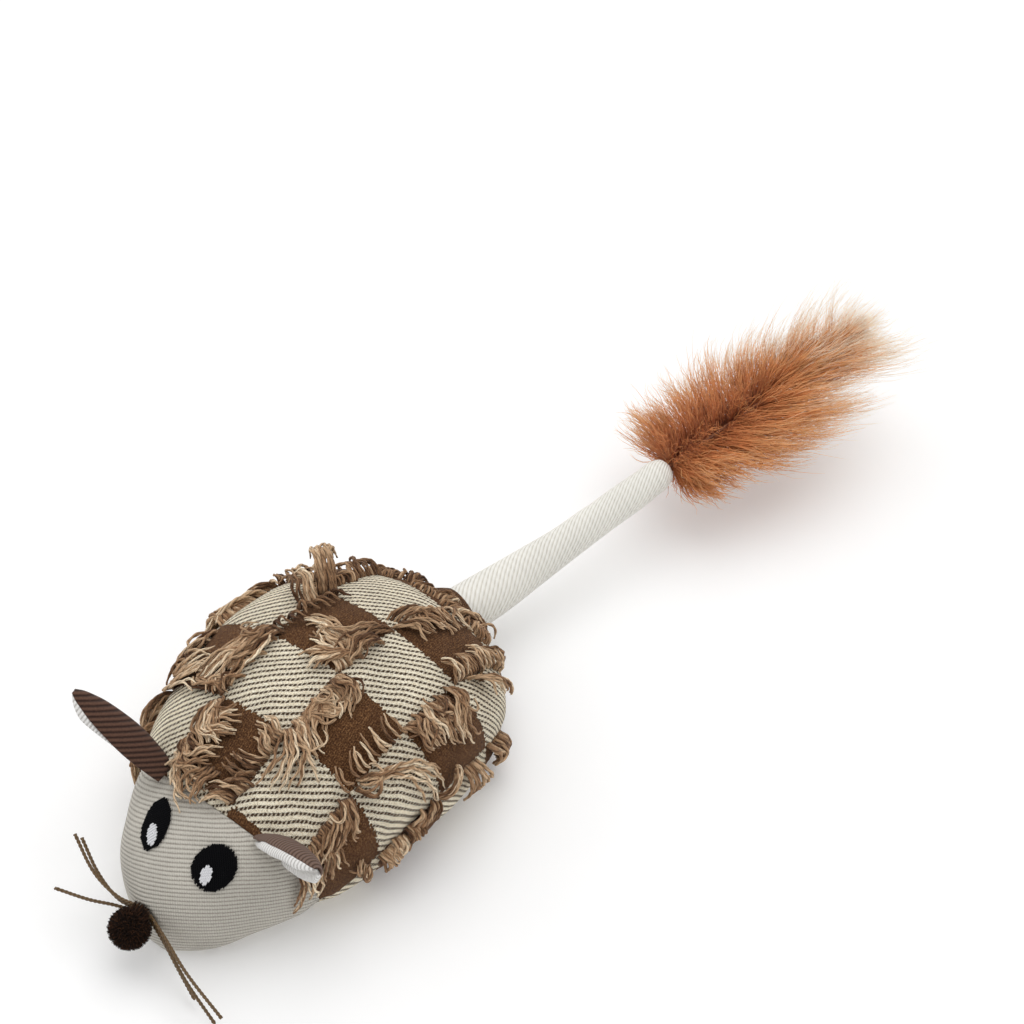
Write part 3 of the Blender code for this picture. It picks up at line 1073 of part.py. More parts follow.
def make_belly_closure():
    hinge = (0.0, OPENING_REAR_Y, 0.0)
    half = OPENING_WIDTH / 2 - FLAP_EDGE_GAP
    front = OPENING_FRONT_Y + FLAP_EDGE_GAP
    rear = OPENING_REAR_Y - FLAP_EDGE_GAP
    outline = ((-half, front), (half, front), (half, rear), (-half, rear))
    finish("belly_flap", prism_mesh(outline, 0.0, FLAP_THICKNESS), PAINTS["flap"], hinge)
    tape_front, tape_rear = front + TAPE_GAP, front + TAPE_GAP + TAPE_LENGTH
    hook_low = FLAP_THICKNESS + TAPE_GAP
    hook_top = hook_low + TAPE_THICKNESS
    outline = ((-TAPE_WIDTH / 2, tape_front), (TAPE_WIDTH / 2, tape_front), (TAPE_WIDTH / 2, tape_rear),
               (-TAPE_WIDTH / 2, tape_rear))
    finish("hook_tape", prism_mesh(outline, hook_low, hook_top), PAINTS["hook"], hinge)
    loop_low = hook_top + TAPE_GAP
    loop_top = loop_low + TAPE_THICKNESS
    sewn_front, sewn_rear, sewn_low = (OPENING_FRONT_Y - TAB_SEWN_LENGTH, OPENING_FRONT_Y - FLAP_EDGE_GAP,
                                       COVER_WALL + TAPE_GAP)
    section = ((sewn_front, sewn_low), (sewn_rear, sewn_low), (sewn_rear, loop_low), (tape_rear, loop_low),
               (tape_rear, loop_top), (sewn_front, loop_top))
    rings = [[(x, y, z) for y, z in section] for x in (-TAPE_WIDTH / 2, TAPE_WIDTH / 2)]
    mesh = bmesh.new()
    ends = [[mesh.verts.new(point) for point in ring] for ring in rings]
    for i in range(len(section)):
        j = (i + 1) % len(section)
        mesh.faces.new((ends[0][i], ends[0][j], ends[1][j], ends[1][i]))
    mesh.faces.new(ends[0][::-1])
    mesh.faces.new(ends[1])
    finish("loop_tape", mesh, PAINTS["loop"], (0.0, OPENING_FRONT_Y, COVER_WALL))


def make_toy():
    for old in list(bpy.data.objects):
        bpy.data.objects.remove(old, do_unlink=True)
    make_body(make_head())
    make_gusset()
    make_fringe()
    make_rear_fringe()
    make_eyes()
    make_pompom()
    make_whiskers()
    make_ears()
    make_tail()
    make_plume()
    make_gears()
    make_lever()
    make_lower_case()
    make_upper_case()
    make_screws()
    battery_solid("battery_cell", BATTERY_RADIUS, BATTERY_LENGTH, PAINTS["cell"])
    make_motor()
    make_board()
    make_button()
    make_leads()
    make_belly_closure()


make_toy()
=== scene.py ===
import math

import bmesh
import bpy
import numpy as np
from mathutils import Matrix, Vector


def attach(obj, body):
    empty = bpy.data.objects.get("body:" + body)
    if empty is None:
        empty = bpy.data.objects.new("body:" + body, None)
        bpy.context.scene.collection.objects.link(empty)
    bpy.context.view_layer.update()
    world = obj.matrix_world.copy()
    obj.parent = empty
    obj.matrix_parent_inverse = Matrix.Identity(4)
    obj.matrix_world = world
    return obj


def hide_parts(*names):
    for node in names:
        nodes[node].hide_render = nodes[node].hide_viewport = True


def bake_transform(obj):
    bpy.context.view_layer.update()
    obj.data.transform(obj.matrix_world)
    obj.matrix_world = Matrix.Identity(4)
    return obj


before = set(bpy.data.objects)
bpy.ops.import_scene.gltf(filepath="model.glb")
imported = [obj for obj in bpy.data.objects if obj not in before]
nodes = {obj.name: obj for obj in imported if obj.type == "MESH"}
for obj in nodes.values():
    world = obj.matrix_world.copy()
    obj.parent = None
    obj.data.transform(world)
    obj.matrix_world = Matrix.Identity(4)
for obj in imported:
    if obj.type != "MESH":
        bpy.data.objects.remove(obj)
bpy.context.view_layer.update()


# The table the toy is shown on, the lamps and the camera. A pale seamless floor keeps a soft shadow under the
# belly, a broad lamp above and a weaker one beside it light the toy, and the camera looks down on it from the front.

MM = 0.001
TURN = 2.0 * math.pi


class Amount:
    """A number that varies over a surface. Sums on it add Math nodes."""

    def __init__(self, look, socket):
        self.look, self.socket = look, socket

    def math(self, operation, *others):
        return self.look.add("Math", {"operation": operation}, dict(enumerate((self, *others))))

    def __add__(self, other):
        return self.math("ADD", other)

    def __sub__(self, other):
        return self.math("SUBTRACT", other)

    def __rsub__(self, other):
        return self.look.add("Math", {"operation": "SUBTRACT"}, {0: other, 1: self})

    def __mul__(self, other):
        return self.math("MULTIPLY", other)

    def __truediv__(self, other):
        return self.math("DIVIDE", other)

    def __abs__(self):
        return self.math("ABSOLUTE")

    def wave(self):
        """A wave from 0 to 1, once for every whole step."""
        return (self * TURN).math("SINE") * 0.5 + 0.5

    def ribs(self):
        """Rounded ribs from 0 to 1, with a furrow at every whole step."""
        return abs((self * math.pi).math("SINE"))

    __radd__, __rmul__ = __add__, __mul__


class Look:
    """One material, built from nodes. Its methods give back Amounts."""

    def __init__(self, name):
        self.material = bpy.data.materials.new(name)
        self.material.use_nodes = True
        self.tree = self.material.node_tree
        self.shader = self.tree.nodes["Principled BSDF"]
        self.end = self.tree.nodes["Material Output"]

    def put(self, socket, value):
        """Set a socket to a number or a colour, or link an Amount to it."""
        if isinstance(value, Amount):
            self.tree.links.new(value.socket, socket)
        elif hasattr(value, "__len__") and len(value) == 3 and socket.type == "RGBA":
            socket.default_value = (*value, 1.0)
        else:
            socket.default_value = value

    def add(self, kind, settings=None, sockets=None, output=0):
        """A new node: its settings come first, then its sockets by name or number."""
        node = self.tree.nodes.new("ShaderNode" + kind)
        for name, value in (settings or {}).items():
            if name == "stops":
                ramp = node.color_ramp.elements
                while len(ramp) < len(value):
                    ramp.new(1.0)
                for stop, (place, colour) in zip(ramp, value):
                    stop.position, stop.color = place, (*colour, 1.0)
            else:
                setattr(node, name, value)
        for name, value in (sockets or {}).items():
            self.put(node.inputs[name], value)
        return Amount(self, node.outputs[output])

    def place(self):
        return self.add("TexCoord", output="Object")

    def stretched(self, way):
        """The place on the toy, shrunk along the axes where marks are drawn out."""
        return self.add("VectorMath", {"operation": "MULTIPLY"}, {0: self.place(), 1: way})

    def flat(self):
        """The piece's own map, in millimetres on the cloth."""
        return self.add("UVMap")

    def tone(self):
        """A random shade for each strand or tuft."""
        return self.add("Attribute", {"attribute_name": "tone"}, output="Fac")

    def along(self, vector, direction, pitch):
        """Distance along a direction, counted in pitches."""
        scaled = tuple(x / pitch for x in Vector(direction).normalized())
        return self.add("VectorMath", {"operation": "DOT_PRODUCT"}, {0: vector, 1: scaled}, "Value")

    def parts(self, vector):
        """The first two parts of a vector."""
        return [self.add("SeparateXYZ", {}, {0: vector}, axis) for axis in "XY"]

    def noise(self, vector, scale, detail=2.0, rough=0.5):
        return self.add("TexNoise", {}, {"Vector": vector, "Scale": scale, "Detail": detail, "Roughness": rough})

    def fuzz(self, scale):
        """Fine fibres that stand up from a cloth or yarn."""
        return self.noise(self.place(), scale, 3.0, 0.7)

    def crossing(self, place, pitch):
        """Threads that cross: two waves at right angles, one times the other, from 0 to 1."""
        warp, weft = ((self.along(place, way, pitch) * TURN).math("SINE") for way in ((1, 0, 0), (0, 1, 0)))
        return warp * weft * 0.5 + 0.5

    def spread(self, value, low, high, to_low=0.0, to_high=1.0):
        """A value carried smoothly from one range to another."""
        return self.add("MapRange", {"interpolation_type": "SMOOTHSTEP"},
                        {"Value": value, "From Min": low, "From Max": high, "To Min": to_low, "To Max": to_high})

    def ramp(self, value, *stops):
        return self.add("ValToRGB", {"stops": stops}, {"Fac": value})

    def mix(self, share, first, second, way="MIX"):
        return self.add("Mix", {"data_type": "RGBA", "blend_type": way}, {0: share, 6: first, 7: second}, 2)

    def shade(self, colour, share):
        """A colour darkened or lightened by a varying share."""
        return self.mix(1.0, colour, self.add("CombineXYZ", {}, {0: share, 1: share, 2: share}), "MULTIPLY")

    def finish(self, colour, roughness, height, depth, **constants):
        """Wire the shader: colour, roughness and a bump of a height from 0 to 1, then what doesn't vary."""
        bump = self.add("Bump", {}, {"Height": height, "Distance": depth, "Strength": 1.0})
        for name, value in {"Base_Color": colour, "Roughness": roughness, "Normal": bump, **constants}.items():
            self.put(self.shader.inputs[name.replace("_", " ")], value)
        return self.material

    def cloth(self, colour, fuzz, height, depth=0.3 * MM, sheen=0.05, gloss=0.15):
        """Matt cloth, roughest where its fuzz is thick."""
        return self.finish(colour, self.spread(fuzz, 0.2, 0.8, 0.85, 1.0), height, depth, Sheen_Weight=sheen,
                           Sheen_Roughness=0.5, Specular_IOR_Level=gloss)


class Sky(Look):
    """The nodes of the world round the table."""

    def __init__(self, world):
        self.tree = world.node_tree


def seen(look):
    """1 where the camera looks, straight, in a mirror or through glass, and 0 for the light on the toy."""
    straight, mirrored, through = (look.add("LightPath", output="Is %s Ray" % kind)
                                   for kind in ("Camera", "Glossy", "Transmission"))
    return (straight + mirrored + through).math("MINIMUM", 1.0)


def studio_floor():
    """A pale floor. A camera under it sees the belly, and the light from under it reaches what lies on it, so the
    belly isn't black from there."""
    look = Look("studio_floor")
    grain = look.noise(look.place(), 40.0)
    pale = look.ramp(grain, (0.3, (0.955, 0.955, 0.955)), (0.7, (0.965, 0.965, 0.965)))
    matt = look.add("BsdfDiffuse", {}, {"Color": pale})
    lift = look.add("AddShader", {}, {0: matt, 1: look.add("Emission", {}, {"Strength": FLOOR_LIFT})})
    top = look.add("MixShader", {}, {0: seen(look), 1: matt, 2: lift})
    under = look.add("BsdfTransparent")
    below = look.add("NewGeometry", output="Backfacing")
    lying_on_it = look.add("LightPath", output="Ray Length").math("LESS_THAN", REACH_FROM_BELOW)
    look.put(look.end.inputs["Surface"],
             look.add("MixShader", {}, {0: below.math("MAXIMUM", lying_on_it), 1: top, 2: under}))
    return look.material


FLOOR_HALF_WIDTH, FLOOR_Z, FLOOR_LIFT, REACH_FROM_BELOW = 3.0, -0.05 * MM, 0.07, 4 * MM
WORLD_LIGHT = 0.66
CAMERA_TURN, CAMERA_HEIGHT = math.radians(38), math.radians(48)
CAMERA_PLACE = (295.4 * MM, -291.3 * MM, 566.5 * MM)
FILM_WIDTH, FOCAL_LENGTH_PIXELS, PICTURE_PIXELS = 36.0, 2600, 1024
# Each lamp: strength, softness as an angle in degrees, and the way that it shines.
LAMPS = {"main_lamp": (1.08, 60, (0.06, -0.30, -0.95)), "side_lamp": (0.34, 60, (0.75, 0.25, -0.5))}
back = Vector((math.sin(CAMERA_TURN) * math.cos(CAMERA_HEIGHT), -math.cos(CAMERA_TURN) * math.cos(CAMERA_HEIGHT),
               math.sin(CAMERA_HEIGHT)))
camera = bpy.data.objects.new("camera", bpy.data.cameras.new("camera"))
camera.location = CAMERA_PLACE
camera.rotation_mode = "QUATERNION"
camera.rotation_quaternion = (-back).to_track_quat("-Z", "Y")
camera.data.sensor_width, camera.data.lens = FILM_WIDTH, FILM_WIDTH * FOCAL_LENGTH_PIXELS / PICTURE_PIXELS
camera.data.clip_start, camera.data.clip_end = 0.01, 20.0
bpy.context.scene.collection.objects.link(camera)
bpy.context.scene.camera = camera
bpy.context.scene.view_settings.view_transform = "Standard"

floor_mesh = bpy.data.meshes.new("floor")
floor_mesh.from_pydata([(x * FLOOR_HALF_WIDTH, y * FLOOR_HALF_WIDTH, FLOOR_Z)
                        for x, y in ((-1, -1), (1, -1), (1, 1), (-1, 1))], [], [(0, 1, 2, 3)])
floor_mesh.materials.append(studio_floor())
floor = bpy.data.objects.new("floor", floor_mesh)
bpy.context.scene.collection.objects.link(floor)

world = bpy.data.worlds.new("studio")
world.use_nodes = True
sky, backdrop = Sky(world), world.node_tree.nodes["Background"]
sky.put(backdrop.inputs["Color"], (1.0, 1.0, 1.0))
sky.put(backdrop.inputs["Strength"], seen(sky) * (1.0 - WORLD_LIGHT) + WORLD_LIGHT)
bpy.context.scene.world = world
for name, (power, angle, aim) in LAMPS.items():
    lamp = bpy.data.lights.new(name, "SUN")
    lamp.energy, lamp.angle = power, math.radians(angle)
    lamp_object = bpy.data.objects.new(name, lamp)
    lamp_object.rotation_mode = "QUATERNION"
    lamp_object.rotation_quaternion = Vector(aim).to_track_quat("-Z", "Y")
    bpy.context.scene.collection.objects.link(lamp_object)


# Head cover: grey-beige ribbed knit, cut as a cone with a rounded snout. It is sewn to the body along a seam that
# leans back under the chin, and stuffed firm, so it swells between the snout and the drawn-in seam.

SNOUT_Y, BODY_LENGTH, BODY_WIDTH, BODY_HEIGHT = -62 * MM, 123 * MM, 79 * MM, 47.5 * MM
BELLY_FLATTENING, MIDDLE_HEIGHT_SHARE = 3 * MM, 0.42
SIDE_POWER, CROWN_POWER, BELLY_POWER = 0.95, 0.9, 0.6
FORM = np.array(((0.000, 0.13, 0.36), (0.041, 0.35, 0.50), (0.138, 0.58, 0.67), (0.260, 0.785, 0.82),
                 (0.382, 0.925, 0.925), (0.520, 1.0, 1.0), (0.667, 1.0, 1.0), (0.797, 0.90, 0.895),
                 (0.894, 0.71, 0.735), (0.967, 0.38, 0.525), (1.0, 0.13, 0.38)))
SEAM_TOP_Y, SEAM_TOP_Z, SEAM_LEAN = -38.5 * MM, 36 * MM, 0.29
SEAM_GAP, STITCH, COVER_WALL = 0.04 * MM, 3.1 * MM, 1.2 * MM
# The face stands a little to the mouse's left: its middle, and how far each eye is from it, in millimetres.
FACE_MIDDLE, EYES_Y, EYES_APART = 2.0, -48.0, 10.0


def curve(x, places, values):
    """Cubic curve through (place, value) pairs, each slope taken from the neighbours."""
    slopes = np.gradient(values, places)
    i = np.clip(np.searchsorted(places, x) - 1, 0, len(places) - 2)
    span = places[i + 1] - places[i]
    t = np.clip((x - places[i]) / span, 0.0, 1.0)
    return ((2 * t**3 - 3 * t**2 + 1) * values[i] + (t**3 - 2 * t**2 + t) * span * slopes[i]
            + (3 * t**2 - 2 * t**3) * values[i + 1] + (t**3 - t**2) * span * slopes[i + 1])


def form_at(y):
    """Half width and height of the cover at y, from the form table."""
    share = (y - SNOUT_Y) / BODY_LENGTH
    return BODY_WIDTH / 2 * curve(share, FORM[:, 0], FORM[:, 1]), BODY_HEIGHT * curve(share, FORM[:, 0], FORM[:, 2])


def section(y, angle):
    """Squared ellipse across the toy at y. Its width and height follow the form table, and it is flat underneath:
    x is half the width times cos to a power, z rises from the middle by sin to a power."""
    y, angle = np.broadcast_arrays(y, angle)
    half, high = form_at(y)
    middle = MIDDLE_HEIGHT_SHARE * high
    across, rise = np.cos(angle), np.sin(angle)
    x = half * np.sign(across) * np.abs(across) ** SIDE_POWER
    upper = middle + (high - middle) * np.abs(rise) ** CROWN_POWER
    lower = middle - (middle + BELLY_FLATTENING) * np.abs(rise) ** BELLY_POWER
    return np.stack([x, y, np.where(rise > 0, upper, np.maximum(lower, 0.0))], axis=-1)


def unit(vectors):
    """The same directions, each one long."""
    return vectors / np.maximum(np.linalg.norm(vectors, axis=-1, keepdims=True), 1e-12)


def lookup(table, row, column):
    """Value in a table between its rows and columns, by straight lines both ways."""
    row, column = np.clip(row, 0, table.shape[0] - 1.001), np.clip(column, 0, table.shape[1] - 1.001)
    i, j = row.astype(int), column.astype(int)
    a, b = row - i, column - j
    return ((table[i, j] * (1 - b) + table[i, j + 1] * b) * (1 - a)
            + (table[i + 1, j] * (1 - b) + table[i + 1, j + 1] * b) * a)


def running_length(points):
    """Distance along each line of points, from its first point."""
    steps = np.linalg.norm(np.diff(points, axis=-2), axis=-1)
    return np.concatenate([np.zeros((*steps.shape[:-1], 1)), np.cumsum(steps, axis=-1)], axis=-1)


# Distance round the cover from the crown, by place and angle, and the angle by place and distance.
form_y = np.linspace(SNOUT_Y, SNOUT_Y + BODY_LENGTH, 247)
form_angle = np.linspace(TURN / 4, -TURN / 4, 361)
form_round = running_length(section(form_y[:, None], form_angle[None, :]))
FARTHEST_ROUND = 92 * MM
round_steps = np.linspace(0.0, FARTHEST_ROUND, 401)
angle_table = np.array([np.interp(round_steps, row, form_angle) for row in form_round])


def row_of(y):
    """Row of the two tables at a place along the toy."""
    return (y - SNOUT_Y) / BODY_LENGTH * (len(form_y) - 1)


def round_at(y, angle):
    """Distance round the cover from the crown to an angle."""
    return lookup(form_round, row_of(y), (TURN / 4 - angle) / (TURN / 2) * (len(form_angle) - 1))


def on_cover(y, across, lift=0.0):
    """Points on the cover at a place along the toy and a distance round it from the crown, raised along the
    normal, and the normals."""
    def point(y, across):
        angle = lookup(angle_table, row_of(y), np.abs(across) / FARTHEST_ROUND * (len(round_steps) - 1))
        found = section(y, angle)
        found[..., 0] *= np.where(across >= 0, 1.0, -1.0)
        return found
    y, across = np.broadcast_arrays(y, across)
    step = 0.4 * MM
    normal = unit(np.cross(point(y, across + step) - point(y, across - step),
                           point(y + step, across) - point(y - step, across)))
    return point(y, across) + normal * np.asarray(lift)[..., None], normal


def grid_quads(rows, columns, wrap=False):
    """Corner numbers of the quads over a grid of points."""
    r = np.arange(rows - 1)[:, None]
    c = np.arange(columns if wrap else columns - 1)[None, :]
    d = (c + 1) % columns
    quads = np.stack([r * columns + c, r * columns + d, (r + 1) * columns + d, (r + 1) * columns + c], axis=-1)
    return quads.reshape(-1, 4)


def piece(name, points, quads, look, uv=None, tone=None, ends=()):
    """One object from arrays: points, quads, a map per quad corner, a shade per point and flat end faces."""
    points = np.ascontiguousarray(np.asarray(points, float).reshape(-1, 3))
    sizes = np.array([4] * len(quads) + [len(end) for end in ends])
    loops = np.concatenate([np.asarray(quads).ravel()] + [np.asarray(end).ravel() for end in ends]).astype(np.int32)
    mesh = bpy.data.meshes.new(name)
    mesh.vertices.add(len(points))
    mesh.vertices.foreach_set("co", points.ravel())
    mesh.loops.add(len(loops))
    mesh.loops.foreach_set("vertex_index", loops)
    mesh.polygons.add(len(sizes))
    mesh.polygons.foreach_set("loop_start", np.concatenate([[0], np.cumsum(sizes)[:-1]]).astype(np.int32))
    mesh.update(calc_edges=True)
    if uv is not None:
        flat = np.zeros((len(loops), 2))
        flat[:len(quads) * 4] = np.asarray(uv).reshape(-1, 2)
        mesh.uv_layers.new(name="cloth").data.foreach_set("uv", flat.ravel())
    if tone is not None:
        layer = mesh.attributes.new("tone", "FLOAT", "POINT")
        layer.data.foreach_set("value", np.asarray(tone, np.float32).ravel())
    mesh.validate()
    mesh.shade_smooth()
    mesh.materials.append(look)
    made = bpy.data.objects.new(name, mesh)
    bpy.context.scene.collection.objects.link(made)
    return made


def wall(made, thickness):
    """Give a single surface the thickness of its cloth, inward and with closed rims."""
    step = made.modifiers.new("wall", "SOLIDIFY")
    step.thickness, step.offset = thickness, -1.0


def stands_for(made, node, body_name):
    """Hang a piece on the body that it rides on, and hide the solid that it takes the place of."""
    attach(made, body_name)
    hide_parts(node)


def leaning_grid(places, leans, angle):
    """Sections at these places, each point moved back by the lean times its depth below the seam's top."""
    y = places[:, None] + 0.0 * angle
    for _ in range(5):
        y = places[:, None] + leans[:, None] * (SEAM_TOP_Z - section(y, angle)[..., 2])
    return section(y, angle)


def normals_of(rings):
    """Unit normals of closed rings that run round from the crown towards +X."""
    return unit(np.cross(np.roll(rings, -1, axis=1) - np.roll(rings, 1, axis=1), np.gradient(rings, axis=0)))


def seam_pull(distance, near):
    """Depth in millimetres by which a seam draws the cover in, most at each stitch: a wave along the seam."""
    return -(0.9 + 0.5 * (0.5 + 0.5 * np.cos(distance * TURN / STITCH))) * near


def lumps(points, size, seed):
    """Smooth unevenness of the stuffing: a sum of sine waves in random directions, from -1 to 1."""
    chance = np.random.default_rng(seed)
    total = np.zeros(points.shape[:-1])
    for _ in range(7):
        way = unit(chance.normal(size=3)) * TURN / (size * chance.uniform(0.7, 1.4))
        total += np.sin(points @ way + chance.uniform(0, TURN))
    return total / 4.0


def knit_head():
    """Ribs in slanting planes, each a row of small loops."""
    look = Look("head_knit")
    place = look.place()
    ridge = (look.along(place, (-0.40, 0.50, 0.77), 1.06 * MM) + look.noise(place, 90.0) * 0.4).ribs()
    loop = look.along(place, (0.79, 0.62, 0.0), 0.62 * MM)
    loops = (loop * TURN + ridge * 2.0).math("SINE") * 0.5 + 0.5
    fuzz = look.fuzz(2600.0)
    height = ridge * 0.75 + loops * 0.25 + fuzz * 0.25
    blotch = look.spread(look.noise(place, 60.0), 0.3, 0.7, 0.93, 1.05)
    grain = look.spread(fuzz, 0.3, 0.7)
    # The colour follows the ribs and loops: darkest in their furrows, as painted shade, and lightest on their crests,
    # as painted highlight. The speckle from the fuzz and the blotches are the yarn's own.
    colour = look.ramp(look.spread(ridge * 0.62 + grain * 0.30 + loops * 0.14, 0.0, 1.0), (0.0, (0.27, 0.240, 0.205)),
                       (0.4, (0.43, 0.400, 0.350)), (1.0, (0.60, 0.570, 0.505)))
    return look.cloth(look.shade(colour, blotch), fuzz, height, 0.28 * MM, 0.12, 0.25)


HEAD_ROWS, HEAD_COLUMNS = 64, 160
# In millimetres: from snout to seam, how far the seam's pull reaches, and the flat place round each eye.
HEAD_COVER_LENGTH, HEAD_PULL_REACH, EYE_ROOM = 24, 2.2, 9.0
# Rings from snout to seam lie on the form and lean more and more with the seam. Along its normal each point moves by
# the seam's pull and by the lumps of the stuffing, which leave a flat place round each eye.
shares = np.linspace(0.0, 1.0, HEAD_ROWS)
places = SNOUT_Y + (SEAM_TOP_Y - SEAM_GAP - SNOUT_Y) * shares**1.2
ring_angle = TURN / 4 - TURN * np.arange(HEAD_COLUMNS) / HEAD_COLUMNS
head = leaning_grid(places, SEAM_LEAN * np.linspace(0.0, 1.0, HEAD_ROWS), ring_angle[None, :])
normal = normals_of(head)
free = np.clip(head[..., 2] / (6 * MM), 0.0, 1.0)
round_seam = round_at(head[..., 1], np.arcsin(np.sin(ring_angle))[None, :] + 0 * head[..., 0])
seam_near = np.exp(-((1.0 - shares) * HEAD_COVER_LENGTH / HEAD_PULL_REACH) ** 2)[:, None]
by_eye = np.exp(-((head[..., 1] / MM - EYES_Y) ** 2
                  + (np.abs(head[..., 0] / MM - FACE_MIDDLE) - EYES_APART) ** 2) / EYE_ROOM**2)
depth = (seam_pull(round_seam, seam_near)
         + 0.35 * lumps(head, 22 * MM, 3) * (1.0 - seam_near) * (1.0 - by_eye) - 0.1 * by_eye) * MM
head = head + normal * (depth * free)[..., None]
# The snout is closed by smaller rings, each a little farther forward.
snout_middle = head[0].mean(0)
snout = [snout_middle + (head[0] - snout_middle) * k + np.array((0.0, -0.35 * MM * (1.0 - k * k), 0.0))
         for k in (0.4, 0.7, 0.9)]
snout_end = snout_middle + np.stack([np.cos(ring_angle), 0 * ring_angle - 0.4, np.sin(ring_angle)], axis=1) * 0.8 * MM
head = np.concatenate([snout_end[None], np.array(snout), head])
head_cover = piece("head_cover_knit", head, grid_quads(len(head), HEAD_COLUMNS, True), knit_head(),
                   ends=[np.arange(HEAD_COLUMNS)[::-1]])
wall(head_cover, COVER_WALL)
stands_for(head_cover, "head_cover", "mouse")


# Body cover: one chequered weave. The cream squares carry rows of dark dashes and the dark squares are plain, and it
# is sewn to the head and the rear gusset. Its belly has an opening for the motor unit.

CHECK_ACROSS, CHECK_LINE, CHECK_START_Y, CHECK_LENGTH = 22.5, 7.0, -35.5, 21.0
MOUTH_Y = 56 * MM
OPENING_X, OPENING_FRONT, OPENING_REAR = 17.6 * MM, 9.61 * MM, 47.31 * MM


def check_weave():
    """Chequer on a map in millimetres: cream squares with broken dark dashes, dark squares with a fine twill."""
    look = Look("check_weave")
    flat = look.flat()
    fray = (look.noise(flat, 1.3, 0.0) - 0.5) * 2.0
    u, v = look.parts(flat)
    column = ((u + fray - CHECK_LINE) / CHECK_ACROSS).math("FLOOR")
    row = ((v + fray - CHECK_START_Y) / CHECK_LENGTH).math("FLOOR")
    dark = (column + row).math("FLOORED_MODULO", 2.0)
    wander = (look.noise(flat, 0.12, 1.0) - 0.5) * 0.9
    line = look.along(flat, (-0.62, 0.79, 0.0), 1.62) + wander
    tick = look.along(flat, (1.0, 0.12, 0.0), 0.98)
    from_line = abs(line.math("FRACT") - 0.5)
    dots = (tick * TURN + line.math("FLOOR") * 2.4).math("SINE")
    gap = look.spread(dots + (look.noise(flat, 1.7, 1.0) - 0.5) * 3.4, -1.0, 0.2)
    specks = look.spread(look.noise(flat, 2.6, 1.0, 0.6), 0.60, 0.72) * 0.45
    uneven = (look.noise(flat, 2.4, 1.0) - 0.5) * 0.30
    dash = ((1.0 - look.spread(from_line + uneven, 0.15, 0.27)) * (0.34 + gap * 0.66)).math("MAXIMUM", specks)
    fuzz = look.fuzz(2400.0)
    grain = look.noise(flat, 2.2, 2.0, 0.7)
    strands = look.along(flat, (0.95, -0.3, 0.0), 0.42).wave()
    speckle = look.spread(fuzz, 0.32, 0.68)
    cream = look.ramp(strands * 0.25 + speckle * 0.75, (0.0, (0.60, 0.50, 0.345)), (0.45, (0.90, 0.80, 0.61)),
                      (1.0, (0.99, 0.95, 0.80)))
    light = look.mix(dash, cream, (0.070, 0.043, 0.026))
    streaks = look.noise(look.add("CombineXYZ", {}, {0: u * 2.6, 1: v * 0.9}), 1.0, 2.0, 0.7)
    twill = (look.along(flat, (1.0, 0.12, 0.0), 0.62) * TURN + streaks * 5.0).math("SINE") * 0.5 + 0.5
    brown = look.ramp(twill * 0.10 + speckle * 0.34 + grain * 0.46 + streaks * 0.30, (0.30, (0.028, 0.009, 0.003)),
                      (0.62, (0.115, 0.048, 0.017)), (0.95, (0.37, 0.195, 0.085)))
    height = look.mix(dark, (1.0 - dash) * 0.9 + strands * 0.12 + speckle * 0.2, twill * 0.15 + speckle * 0.5)
    blotch = look.spread(look.noise(flat, 0.09), 0.3, 0.7, 0.9, 1.06)
    return look.cloth(look.shade(look.mix(dark, light, brown), blotch), fuzz, height, 0.35 * MM)


def to_square_edge(place, start, pitch):
    """Distance from a place to the nearest edge of a square, one way."""
    squares = (place - start) / pitch
    return np.abs(squares - np.round(squares)) * pitch


BODY_SIDE_COLUMNS, BODY_BELLY_COLUMNS = 72, 14
FRONT_ROWS, OPENING_ROWS, REAR_ROWS = 69, 60, 22
# In millimetres: the cover's length, how far the pull of its front and rear seam reaches, and the puff of a square.
BODY_COVER_LENGTH, FRONT_PULL_REACH, REAR_PULL_REACH, PUFF_REACH = 94, 2.4, 2.0, 2.2
half_columns = BODY_SIDE_COLUMNS + BODY_BELLY_COLUMNS
# Rings from the seam, where they lean, to the upright mouth for the gusset. Their columns bunch up at the opening's
# sides, so that its edges run straight. Each point moves along its normal by the pull of both seams, by lumps, and by
# the puff of its square, which is 1 less a bell curve of the distance to the square's edge.
belly_start = SEAM_TOP_Y + SEAM_GAP + SEAM_LEAN * SEAM_TOP_Z
front_share, rear_share = (np.array((OPENING_FRONT, OPENING_REAR)) - belly_start) / (MOUTH_Y - belly_start)
body_shares = np.concatenate([np.linspace(0.0, front_share, FRONT_ROWS + 1)[:-1],
                              np.linspace(front_share, rear_share, OPENING_ROWS + 1)[:-1],
                              np.linspace(rear_share, 1.0, REAR_ROWS)])
places = SEAM_TOP_Y + SEAM_GAP + (MOUTH_Y - SEAM_TOP_Y - SEAM_GAP) * body_shares
leans = SEAM_LEAN * (1.0 - body_shares)
half_width, _ = form_at(places + leans * SEAM_TOP_Z)
edge = -np.arccos(np.minimum((OPENING_X / half_width) ** (1 / SIDE_POWER), 0.85))
side_share = np.linspace(0.0, 1.0, BODY_SIDE_COLUMNS + 1)[None, :]
belly_share = np.linspace(0.0, 1.0, BODY_BELLY_COLUMNS + 1)[None, 1:]
down = np.concatenate([TURN / 4 + (edge[:, None] - TURN / 4) * side_share,
                       edge[:, None] + (-TURN / 4 - edge[:, None]) * belly_share], axis=1)
angle = np.concatenate([down, TURN / 2 - down[:, -2:0:-1]], axis=1)
body = leaning_grid(places, leans, angle)
body_columns = body.shape[1]
round_half = round_at(body[..., 1], np.arcsin(np.sin(angle)))
signed = np.where(np.arange(body_columns)[None, :] <= half_columns, round_half, -round_half)
normal = normals_of(body)
free = np.clip((body[..., 2] - 0.5 * MM) / (7 * MM), 0.0, 1.0)
